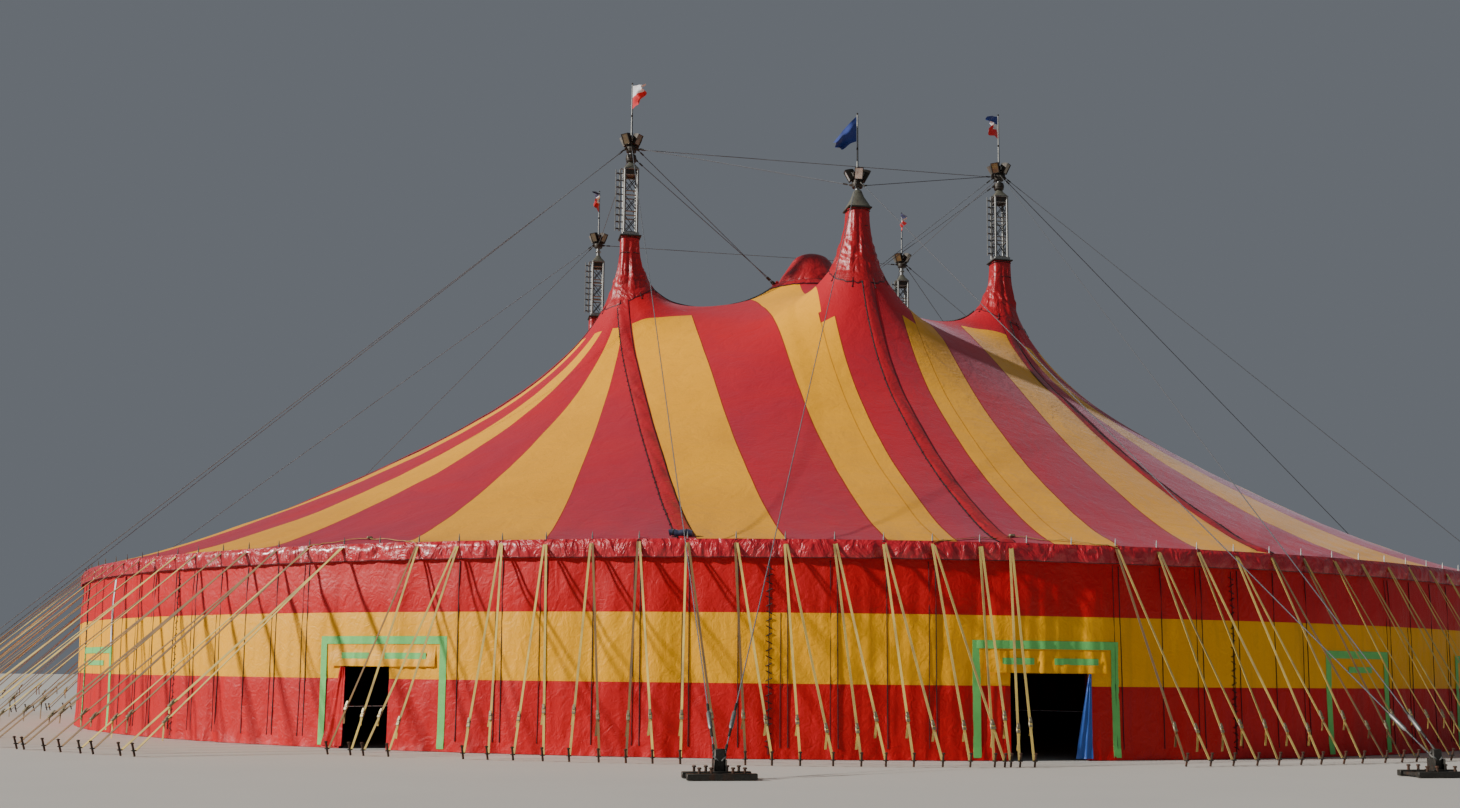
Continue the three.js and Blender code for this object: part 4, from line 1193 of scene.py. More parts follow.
@dataclass
class CrownCap:
    """The gored dome on the crown ring, with its puckered skirt and shackles."""

    outline: tuple[Span, ...] = (
        (1.0, 0.0), (0.945, 0.11), (0.89, 0.22), (0.83, 0.32), (0.76, 0.42), (0.70, 0.52), (0.64, 0.61),
        (0.55, 0.76), (0.44, 0.88), (0.33, 0.94), (0.22, 0.98), (0.11, 0.995), (0.0, 1.0))
    skirt: tuple[Span, ...] = ((1.78, 0.012), (1.74, 0.03), (1.68, 0.045), (1.6, 0.05), (1.53, 0.05))
    radius: float = 1.35
    height: float = 1.33
    gores: int = 12
    cloth_length: float = 8.6

    def build(self) -> None:
        """Build the dome and the shackles."""
        wide, up = (np.array(values) for values in zip(*self.outline))
        fine = np.linspace(0, len(wide) - 1, 49)
        wide, up = (np.interp(fine, np.arange(len(wide)), v) for v in (wide, up))
        turn = np.linspace(0, 2 * np.pi, self.gores * 16, endpoint=False)
        gore = np.abs(np.sin(turn * self.gores / 2 + 0.35)) ** 0.5
        foot = np.exp(-up / 0.09)[:, None]
        wrinkle = cloth_noise(turn * 30 / np.pi, up[:, None] * 5, 71, period=60)
        swell = 1 + 0.022 * gore * (1 - foot) + 0.035 * foot * wrinkle
        band = -0.012 * np.exp(-(((up - 0.66) / 0.015) ** 2))[:, None]
        reach = self.radius * wide[:, None] * (swell + band)
        level = CROWN_BASE + 0.022 + self.height * up[:, None] + 0.02 * foot * wrinkle**2
        points = ring(0.0, PLAN.crown_y, reach, turn, level)
        rows = []
        for wide, lift in self.skirt:
            spots = ring(0.0, PLAN.crown_y, wide + 0.02 * wrinkle[0], turn, 0.0)[:, :2]
            rows.append(PLAN.on_roof(spots, lift) + np.abs(wrinkle[2])[:, None] * (0, 0, 0.03))
        dome = Piece("crown_cap", Cloth.GLOSSY_RED, Cloth.HEM_AND_PAINTED_SHADOW)
        slots = np.zeros((len(rows) + len(points) - 1, len(turn)), int)
        slots[0] = 1
        dome.grid(np.array([*rows, *points]), slots, closed=True)
        made = dome.build("crown_dome", slot="glossy_red_canvas", smooth=70)
        declare_sheet(made, self.cloth_length)
        self.shackles()

    def shackles(self) -> None:
        """Bolt a bow shackle to each lug that holds the cables from the front masts."""
        piece = Piece("crown_shackles", Cloth.DARK_STEEL, Cloth.GLOSSY_RED)
        for name in ("front_left", "front_right"):
            out = np.array([*unit(MASTS[name].spot - PLAN.crown), 0])
            side = leftwards(out)
            spot = np.array([*PLAN.crown, CROWN_BASE + 0.07]) + out * 1.46
            turns = np.linspace(-0.7, np.pi + 0.7, 14)
            bow = [spot + out * (0.02 + 0.12 * math.sin(t)) + side * 0.075 * math.cos(t) for t in turns]
            piece.tube(bow, 0.02, 8)
            piece.tube([spot - side * 0.1, spot + side * 0.1], 0.022, 8)
            piece.block(spot + side * 0.11, (0.05, 0.05, 0.05), 0.012)
            for shift in (-0.2, 0.16):
                lump = spot + side * shift - out * 0.03 + (0, 0, 0.02)
                piece.tube([lump + out * k for k in (0, 0.05, 0.1)], [0.04, 0.065, 0.035], 8, slot=1)
        piece.build()


@dataclass
class MastSleeve:
    """The glossy sleeve that closes the roof round a mast, gathered at its top."""

    mast: Mast
    seed: int
    columns: int = 144
    rows: int = 46
    foot_radius: float = 0.8
    cloth_length: float = 4.2
    skirt: tuple[Span, ...] = ((0.05, 0.05), (0.1, 0.045), (0.145, 0.022), (0.165, 0.012))
    ties_reach: tuple[Span, ...] = ((0.9, 0.06), (0.97, 0.055), (1.05, 0.02))

    def build(self) -> None:
        """Build the sleeve with the skirt that lies on the roof."""
        mast = self.mast
        turn = np.linspace(0, 2 * np.pi, self.columns, endpoint=False)
        cos, sin = np.cos(turn), np.sin(turn)
        tall = mast.kind is TALL
        square = np.minimum(mast.kind.neck / np.maximum(np.abs(cos), np.abs(sin)), 0.42)
        share = np.linspace(1, 0, self.rows)[:, None]
        narrow = ease(share, 0.35, 0.75)
        foot = PLAN.on_roof(ring(mast.x, mast.y, self.foot_radius, turn, 0.0)[:, :2], 0.03)[:, 2]
        flare = (1 - share) ** (2.4 if tall else 1.8)
        reach = square + (self.foot_radius - square) * flare
        lobes = np.cos(turn * 9 + 2.2 * cloth_noise(turn * 8 / np.pi, share * 1.5, self.seed, period=16))
        deep = 0.012 + 0.034 * (1 - narrow)
        gather = cloth_noise(turn * 24 / np.pi, share * 2.2, self.seed + 1, period=48)
        crumple = cloth_noise(turn * 8 / np.pi + share * 5, share * 15, self.seed + 2, period=16)
        zone = np.exp(-(((share - 0.27) / 0.17) ** 2))
        reach = reach + deep * (lobes * 0.6 + gather * 0.7) * (1 - 0.6 * flare)
        reach = np.maximum(reach + crumple * (0.006 + 0.04 * zone) + 0.02 * zone, square * 0.99)
        height = foot + (mast.kind.sleeve - foot) * share
        rows = [ring(mast.x, mast.y, 0.97 * square, turn, mast.kind.sleeve - 0.01)]
        rows += list(ring(mast.x, mast.y, reach, turn, height))
        for out, lift in self.skirt:
            wide = self.foot_radius + out + 0.12 * gather[-1] * out
            rows.append(PLAN.on_roof(ring(mast.x, mast.y, wide, turn, 0.0)[:, :2], lift))
        sleeve = Piece("sleeve_" + mast.name, Cloth.GLOSSY_RED, Cloth.HEM_AND_PAINTED_SHADOW)
        slots = np.zeros((len(rows) - 1, self.columns), int)
        slots[-1] = 1
        sleeve.grid(np.array(rows), slots, closed=True)
        made = sleeve.build("mast_sleeve_" + mast.name, slot="glossy_red_canvas", smooth=80)
        declare_sheet(made, self.cloth_length)
        self.ties()

    def ties(self) -> None:
        """Bind the sleeve to the mast and tie its hem to the roof."""
        mast = self.mast
        piece = Piece("sleeve_ties_" + mast.name, Cloth.LACING, Cloth.DARK_STEEL)
        turn = np.linspace(0, 2 * np.pi, 49)
        half = mast.kind.neck + 0.015
        square = np.minimum(half / np.maximum(np.abs(np.cos(turn)), np.abs(np.sin(turn))), 0.44)
        for drop in (0.05, 0.62):
            level = mast.kind.sleeve - drop + 0.012 * np.sin(turn * 3)
            piece.tube(ring(mast.x, mast.y, square, turn, level), 0.014, 5)
        for corner in range(8):
            angle = math.radians(corner * 45 + 20)
            way = np.array([math.cos(angle), math.sin(angle)])
            ends = [PLAN.on_roof(mast.spot + way * reach, lift) for reach, lift in self.ties_reach]
            piece.tube(ends, 0.01, 6)
            piece.block(ends[-1], (0.05, 0.05, 0.04), 0.012, slot=1)
        piece.build()


@dataclass
class MastFrame:
    """One lattice mast with plates, double rungs, crossed bracing and its ladder."""

    mast: Mast
    half: float = 0.28
    chord: float = 0.046
    panel: float = 0.61
    rung_gap: float = 0.16
    ladder_top: float = 14.2

    def __post_init__(self) -> None:
        """Start the mast's piece, and give the points beside its axis a short name."""
        self.piece = Piece("mast_frame_" + self.mast.name, Cloth.STEEL, Cloth.DARK_STEEL)
        self.spot = self.mast.at

    def plates(self) -> None:
        """Add the foot, the plate on the sleeve and the closed top."""
        kind, piece = self.mast.kind, self.piece
        piece.block(self.spot(0, 0, 0.025), (0.9, 0.9, 0.05), 0.012)
        wide = 0.78 if kind is TALL else 0.82
        piece.block(self.spot(0, 0, kind.sleeve + 0.03), (wide, wide, 0.05), 0.012, slot=1)
        piece.block(self.spot(0, 0, kind.lattice - 0.025), (0.56, 0.56, 0.05), 0.01)
        if kind is TALL:
            piece.block(self.spot(0, 0, kind.sleeve + 0.11), (0.62, 0.62, 0.12), 0.012)
            piece.block(self.spot(0, 0, kind.lattice - 0.14), (0.5, 0.5, 0.18), 0.012, slot=1)
        for x in (-1, 1):
            for y in (-1, 1):
                piece.block(self.spot(0.38 * x, 0.38 * y, 0.065), (0.06, 0.06, 0.04), 0.01, slot=1)
                rib = [self.spot(0.3 * x, 0.3 * y, 0.05), self.spot(0.28 * x, 0.28 * y, 0.2)]
                piece.tube(rib, 0.02, 4)

    def lattice(self) -> None:
        """Add the corner tubes with their rungs and crossed braces."""
        reach = self.half - self.chord
        top = self.mast.kind.lattice - 0.05
        corners = [(-reach, -reach), (reach, -reach), (reach, reach), (-reach, reach)]
        for x, y in corners:
            self.piece.tube([self.spot(x, y, 0.05), self.spot(x, y, top)], self.chord, 10)
        high = top - 0.2
        while high > self.panel + 0.2:
            low = high - self.panel
            for here, there in zip(corners, corners[1:] + corners[:1]):
                for level in (low, high):
                    self.piece.tube([self.spot(*here, level), self.spot(*there, level)], 0.023, 6)
                self.piece.tube([self.spot(*here, low), self.spot(*there, high)], 0.015, 5, slot=1)
                self.piece.tube([self.spot(*there, low), self.spot(*here, high)], 0.015, 5, slot=1)
            high = low - self.rung_gap

    def ladder(self, low: float, high: float) -> None:
        """Add a climbing rail with rungs beside the left front corner tube."""
        y = -self.half + self.chord
        for x, radius in ((-0.42, 0.034), (-0.57, 0.016)):
            self.piece.tube([self.spot(x, y, low), self.spot(x, y, high)], radius, 8)
        hook = ((-0.42, 0.0), (-0.38, 0.05), (-0.3, 0.02))
        self.piece.tube([self.spot(x, y, high + up) for x, up in hook], 0.024, 8)
        for level in np.arange(low + 0.08, high, 0.26):
            self.piece.tube([self.spot(-0.57, y, level), self.spot(-0.27, y, level)], 0.018, 6, slot=1)
            self.piece.block(self.spot(-0.5, y - 0.012, level), (0.11, 0.05, 0.05), 0.012, slot=1)

    def build(self) -> None:
        """Build the mast."""
        kind = self.mast.kind
        self.plates()
        self.lattice()
        self.ladder(0.4, self.ladder_top)
        if kind is TALL:
            self.ladder(kind.sleeve + 0.2, kind.lattice - 0.1)
        self.piece.build("mast_" + self.mast.name, slot="galvanised_steel")


@dataclass
class MastHead:
    """The hood, tube, floodlights and flagpole on top of a mast."""

    mast: Mast
    lamp_outline: tuple[Point, ...] = (
        (-0.15, 0.07, 0.1), (-0.13, 0.095, 0.13), (-0.02, 0.125, 0.17), (0.12, 0.147, 0.2),
        (0.15, 0.147, 0.2), (0.15, 0.128, 0.178), (0.132, 0.125, 0.175))
    hood_outline: tuple[Span, ...] = (
        (1.0, 0.0), (1.0, 0.03), (0.985, 0.045), (0.5, 0.62), (0.34, 0.93), (0.3, 1.0))
    lamp_lean: float = 0.5

    def __post_init__(self) -> None:
        """Start the head's piece."""
        # The short mast's lamps take glass with a painted sky reflection.
        lens = Cloth.LENS if self.mast.kind is TALL else Cloth.LENS_PAINTED_REFLECTION
        self.piece = Piece("head_" + self.mast.name, Cloth.LAMP_METAL, Cloth.STEEL, lens, Cloth.HOOD)

    def hood(self) -> None:
        """Add the four-sided hood and the stepped tube."""
        mast, kind = self.mast, self.mast.kind
        low = kind.lattice + 0.001
        rings = []
        for wide, up in self.hood_outline:
            half = max(kind.cone_half * wide, 0.085)
            cut = half * 0.8
            corners = [(-half, -cut), (-cut, -half), (cut, -half), (half, -cut), (half, cut), (cut, half),
                       (-cut, half), (-half, cut)]
            rings.append([mast.at(x, y, low + kind.cone * up) for x, y in corners])
        self.piece.loft(np.array(rings), slot=3)
        top, foot = kind.tube, low + kind.cone - 0.05
        middle = foot + 0.22
        self.piece.lathe([(0.001, foot), (0.1, foot), (0.1, foot + 0.03), (0.082, foot + 0.045),
                          (0.082, middle), (0.13, middle), (0.13, middle + 0.03), (0.082, middle + 0.03),
                          (0.082, top - 0.04), (0.12, top - 0.04), (0.12, top), (0.001, top)],
                         mast.x, mast.y, 16, slot=1)

    def lamp(self, angle: float) -> None:
        """Add one floodlight that leans outwards, with its yoke."""
        mast, piece = self.mast, self.piece
        out = np.array([math.cos(angle), math.sin(angle), 0.0])
        side = leftwards(out)
        face = out * math.cos(self.lamp_lean) - (0, 0, math.sin(self.lamp_lean))
        up = np.cross(face, side) * -1
        up = up if up[2] > 0 else -up
        centre = mast.at(0, 0, mast.kind.tube + 0.1) + out * 0.225
        signs = ((-1, -1), (1, -1), (1, 1), (-1, 1))
        rings = [[centre + face * d + side * w * a + up * h * b for a, b in signs]
                 for d, w, h in self.lamp_outline]
        piece.loft(np.array(rings))
        piece.slots[-1] = 2
        for level in (-0.08, -0.03, 0.02, 0.07):
            fin = centre - face * 0.13 + up * level
            piece.tube([fin - side * 0.07, fin + side * 0.07], 0.016, 4)
        root = mast.at(0, 0, mast.kind.tube - 0.03) + out * 0.06
        for sign in (-1, 1):
            arm = centre + side * sign * 0.165 - face * 0.02
            piece.tube([root + side * sign * 0.05, arm - up * 0.12, arm + up * 0.02], 0.014, 6, slot=1)
            piece.tube([arm, arm - side * sign * 0.04], 0.024, 8)

    def pole(self) -> None:
        """Add the flagpole with its ball, cleat and halyard."""
        mast, kind = self.mast, self.mast.kind
        low, high = mast.at(0, 0, kind.tube - 0.02), mast.at(0, 0, kind.flag_top - 0.06)
        self.piece.tube([low, low + (high - low) * 0.5, high], [0.028, 0.022, 0.016], 10, slot=1)
        top = kind.flag_top
        self.piece.lathe([(0.001, top - 0.075), (0.02, top - 0.07), (0.032, top - 0.045), (0.032, top - 0.03),
                          (0.02, top - 0.008), (0.001, top)], mast.x, mast.y, 12)
        line = np.array([0.036, 0, 0])
        self.piece.tube([low + line + (0, 0, 0.3), high + line * 0.6 - (0, 0, 0.04)], 0.006, 4)
        self.piece.block(mast.at(0.02, 0, kind.tube + 0.34), (0.05, 0.03, 0.12), 0.01)
        self.piece.block(mast.at(0, 0, kind.flag_top - 1.28), (0.055, 0.055, 0.09), 0.012)

    def build(self) -> None:
        """Build the head."""
        self.hood()
        first = math.pi / 4 if self.mast.kind is TALL else math.radians(-97)
        for quarter in range(4):
            self.lamp(first + quarter * math.pi / 2)
        self.pole()
        self.piece.build("mast_head_" + self.mast.name, slot="dark_metal")


@dataclass(frozen=True)
class Banner:
    """How one flag hangs: where it flies to, how far out and down, and its bands from the top."""

    turn: float
    reach: float
    drop: float
    gather: float
    bands: tuple[Cloth, ...]


BANNERS = {
    "front_left": Banner(-62, 0.72, 0.12, 0.5, (Cloth.WHITE_FLAG, Cloth.RED_FLAG)),
    "front_middle": Banner(188, 0.84, 1.02, 0.72, (Cloth.BLUE_FLAG,)),
    "front_right": Banner(222, 0.78, 0.2, 0.45, (Cloth.BLUE_FLAG, Cloth.WHITE_FLAG, Cloth.RED_FLAG)),
    "back_left": Banner(250, 0.62, 0.1, 0.5, (Cloth.NAVY_FLAG, Cloth.WHITE_FLAG, Cloth.RED_FLAG)),
    "back_right": Banner(262, 0.62, 0.1, 0.5, (Cloth.NAVY_FLAG, Cloth.WHITE_FLAG, Cloth.RED_FLAG)),
}


@dataclass
class Flag:
    """A limp flag on its pole."""

    mast: Mast
    banner: Banner
    seed: int
    hoist: float = 0.88
    cloth_length: float = 0.92
    rows: int = 24
    columns: int = 40

    def build(self) -> None:
        """Build the cloth."""
        mast, banner = self.mast, self.banner
        out, down = np.meshgrid(np.linspace(0, 1, self.columns), np.linspace(0, 1, self.rows))
        way = np.array([math.cos(math.radians(banner.turn)), math.sin(math.radians(banner.turn))])
        side = leftwards(way)
        fold = 0.13 * out**0.8 * np.sin(2 * np.pi * (down * 1.3 + out * 0.35) + self.seed)
        fold = fold + 0.07 * out * np.sin(2 * np.pi * (out * 1.6 - down * 0.4))
        reach = 0.035 + banner.reach * out * (1 - 0.18 * down * out)
        lift = banner.drop * out**1.1 + self.hoist * down * (1 - banner.gather * out**1.5)
        lift = lift - 0.05 * np.sin(2 * np.pi * out) * down
        height = mast.kind.flag_top - 0.14 - lift
        plan = mast.spot + reach[..., None] * way + fold[..., None] * side
        cloths = list(dict.fromkeys(banner.bands))
        piece = Piece("banner_" + mast.name, *cloths)
        band = np.arange(self.rows - 1) * len(banner.bands) // (self.rows - 1)
        slots = np.array([cloths.index(banner.bands[b]) for b in band])[:, None]
        piece.grid(np.concatenate([plan, height[..., None]], -1), slots)
        made = piece.build("flag_" + mast.name, slot="flag_cloth", smooth=80)
        declare_sheet(made, self.cloth_length)


@dataclass
class Valance:
    """The glossy red strip round the rim, pinched at a pin at every pole, with its dark hem."""

    columns_per_pole: int = 24
    cloth_length: float = 40.9
    pin_radius: float = 25.97
    levels: tuple[float, ...] = (5.0, 4.98, 4.945, 4.9, 4.855, 4.81, 4.765, 4.72, 4.675, 4.63, 4.588,
                                 4.57)

    def quarter(self, number: int) -> None:
        """Build a quarter of the strip."""
        count = PLAN.poles // 4 * self.columns_per_pole + 1
        angle = np.linspace(number * 90, number * 90 + 90, count)
        phase = np.mod(angle / PLAN.pole_step, 1.0)
        between = np.sin(np.pi * phase)
        rows = []
        for level in self.levels:
            deep = (5.0 - level) / PLAN.valance_height
            creases = cloth_noise(angle * 3.2, deep * 2.2, 91, period=1152)
            rays = np.abs(cloth_noise(angle * 6.4, deep * 0.8, 92, period=2304)) * (1 - between) ** 2
            crinkles = cloth_noise(angle * 12.8, deep * 5.5, 94, period=4608)
            bulge = between * (0.018 + 0.04 * math.sin(math.pi * min(deep * 0.75, 1.0)))
            folds = bulge + 0.024 * (creases + 1) + 0.009 * (crinkles + 1) + 0.02 * rays
            reach = PLAN.rim_radius + 0.012 + folds * min(deep * 5, 1)
            sag = 0.012 * between - 0.035 * np.maximum(cloth_noise(angle * 0.42, 0.5, 93, period=151), 0) ** 2
            rows.append(PLAN.rim_point(angle, reach, level - sag * deep))
        slots = np.zeros((len(rows) - 1, count - 1), int)
        slots[-1] = 1
        piece = Piece(f"valance_part_{number + 1}", Cloth.VALANCE_RED, Cloth.HEM_AND_PAINTED_SHADOW)
        piece.grid(np.array(rows), slots)
        made = piece.build("valance", slot="glossy_red_canvas", smooth=80)
        declare_sheet(made, self.cloth_length)

    def pins(self) -> None:
        """Set a steel pin with an eye on the rim at every pole."""
        piece = Piece("rim_pins", Cloth.STEEL, Cloth.DARK_STEEL)
        for number in range(PLAN.poles):
            angle = number * PLAN.pole_step
            foot = PLAN.rim_point(angle, self.pin_radius, 4.98)
            piece.tube([foot, foot + (0, 0, 0.1), foot + (0, 0, 0.2)], [0.02, 0.017, 0.006], 6)
            out = PLAN.polar(angle, 1.0)
            side = leftwards(out)
            eye = [foot + out * 0.055 + side * 0.035 * math.cos(t) + (0, 0, -0.035 + 0.035 * math.sin(t))
                   for t in np.linspace(0, 2 * math.pi, 9)]
            piece.tube(eye, 0.01, 5, slot=1)
        piece.build()

    def build(self) -> None:
        """Build the strip and the pins."""
        for number in range(4):
            self.quarter(number)
        self.pins()


@dataclass(frozen=True)
class Door:
    """A doorway or a closed exit: the wall angles of its frame, its opening and its height."""

    left: float
    right: float
    top: float
    opening: Span | None = None


DOORS = (
    Door(-38.5, -30.7, 2.63, (-37.2, -34.0)),
    Door(-2.76, 4.75, 2.64, (-1.0, 3.2)),
    Door(19.2, 24.5, 2.54),
    Door(33.6, 39.2, 2.5),
    Door(-70.0, -62.0, 2.4),
    Door(141.5, 149.3, 2.63, (142.8, 146.0)),
    Door(177.24, 184.75, 2.64, (179.0, 183.2)),
    Door(199.2, 204.5, 2.54),
)
OPENING_TOP = 2.02
TAPE_THICKNESS = 0.008


@dataclass
class SideWall:
    """The wall of red, yellow and red bands, with folds, joints and crumpled feet."""

    levels: tuple[float, ...] = (
        0.0, 0.05, 0.11, 0.18, 0.27, 0.4, 0.58, 0.8, 1.05, 1.3, 1.52, 1.68, 1.695, 1.71, 1.9, 2.02, 2.25,
        2.5, 2.78, 3.05, 3.29, 3.305, 3.32, 3.55, 3.8, 4.05, 4.3, 4.5, 4.7, 4.895)
    bands: Span = (1.695, 3.305)
    face_radius: float = 25.985
    columns_per_pole: int = 14
    least_step: float = 0.02
    arcs: tuple[tuple[str, float, float], ...] = (
        ("wall_front", -34.0, -1.0), ("wall_right_front", 3.2, 72.5), ("wall_right_back", 72.5, 142.8),
        ("wall_back", 146.0, 179.0), ("wall_left_back", 183.2, 252.5), ("wall_left_front", 252.5, 322.8))
    lintels: tuple[tuple[str, float, float], ...] = (
        ("lintel_front_left", -37.2, -34.0), ("lintel_front_right", -1.0, 3.2),
        ("lintel_back_right", 142.8, 146.0), ("lintel_back_left", 179.0, 183.2))
    laced_at: tuple[float, ...] = (-13.3, -52.0, 12.2, 44.0, 62.0, 92.0, 118.0, 164.0, 212.0, 238.0, 268.0,
                                   290.0)

    @staticmethod
    def reach(angle: Values, level: Values) -> Array:
        """Give the radius of the cloth's outer face, with its folds, slumped foot and seams."""
        angle, level = np.broadcast_arrays(angle, level)
        angle = np.mod(angle, 360)
        free = 1 - ease(level, 3.7, 4.5)
        between = (1 - np.cos(2 * np.pi * angle / PLAN.pole_step)) / 2
        wide = cloth_noise(angle * 0.8, level * 0.18, 101, period=288)
        creases = cloth_noise(angle * 2.4, level * 0.35, 102, period=864)
        fine = cloth_noise(angle * 6.4, level * 1.3, 103, period=2304)
        slump = np.exp(-level / 0.3)
        foot = cloth_noise(angle * 4.8, level * 5, 104, period=1728)
        seam_pull = sum(0.012 * np.exp(-(((level - band) / 0.05) ** 2)) for band in SideWall.bands)
        front = np.abs(np.mod(angle + 90, 180) - 90)
        loose = 1 + 0.9 * np.exp(-((front / 12) ** 2))
        heap = np.exp(-(((angle - 312) / 5) ** 2) - level / 0.9)
        folds = 0.024 * np.maximum(wide, -0.6) + 0.017 * np.abs(creases)
        out = 0.028 * between + loose * folds + 0.005 * fine
        out = out + 0.07 * heap * np.maximum(cloth_noise(angle * 5.6, level * 2.4, 105, period=2016), -0.3)
        out = out + 0.02 + slump * (0.03 * np.maximum(foot, -0.4) + 0.03)
        return SideWall.face_radius + np.maximum(out - seam_pull, 0.002) * free

    @classmethod
    def on_wall(cls, angle: Values, level: Values, lift: float = 0.0) -> Array:
        """Give the point on the cloth at an angle and height."""
        angle, level = np.broadcast_arrays(angle, level)
        return PLAN.rim_point(angle, cls.reach(angle, level) + lift, level)

    def arc(self, node: str, start: float, end: float, low: float) -> None:
        """Args:
            node: The frame's node that it stands for.
            start: Angle of its left edge.
            end: Angle of its right edge.
            low: Height of its lower edge.
        """
        columns = max(int((end - start) / PLAN.pole_step * self.columns_per_pole), 16)
        angle = np.linspace(start, end, columns + 1)
        levels = np.array([low] + [level for level in self.levels if level > low + self.least_step])
        points = self.on_wall(angle[None, :], levels[:, None])
        middle = (levels[:-1] + levels[1:]) / 2
        yellow = (middle > self.bands[0]) & (middle < self.bands[1])
        piece = Piece("cloth_" + node, Cloth.WALL_RED, Cloth.WALL_YELLOW)
        piece.grid(points, yellow.astype(int)[:, None])
        made = piece.build(node, slot="red_canvas", smooth=75)
        length = math.radians(end - start) * PLAN.rim_radius
        declare_sheet(made, length)

    def joints(self) -> None:
        """Lace the upright joints of the wall, and let a cord hang from every pin."""
        laced = Piece("wall_lacing", Cloth.LACING)
        for angle in self.laced_at:
            for number, level in enumerate(np.arange(0.25, 4.4, 0.17)):
                lean = 0.035 if number % 2 else -0.035
                ends = np.array([angle - 0.16, angle, angle + 0.16])
                laced.tube(self.on_wall(ends, np.array([level - lean, level, level + lean]), 0.012), 0.011, 4)
            levels = np.linspace(0.1, 4.5, 34)
            laced.tube(self.on_wall(angle, levels, 0.008), 0.009, 4)
        laced.build()
        cords = Piece("wall_cords", Cloth.LACING)
        for number in range(PLAN.poles):
            angle = number * PLAN.pole_step
            if any(d.left < (angle + 180) % 360 - 180 < d.right for d in DOORS) or 141 < angle < 205:
                continue
            levels = np.array([4.52, 4.0, 3.3, 2.6, 1.9, 1.2, 0.6, 0.25])
            cords.tube(self.on_wall(angle + 0.18 - 0.015 * levels, levels, 0.008), 0.011, 4)
            if number % 3:
                cords.tube(self.on_wall(angle - 0.22, levels[2 if number % 2 else 0:], 0.008), 0.008, 4)
        cords.build()

    def build(self) -> None:
        """Build the wall."""
        for node, start, end in self.arcs:
            self.arc(node, start, end, 0.0)
        for node, start, end in self.lintels:
            self.arc(node, start, end, OPENING_TOP)
        self.joints()


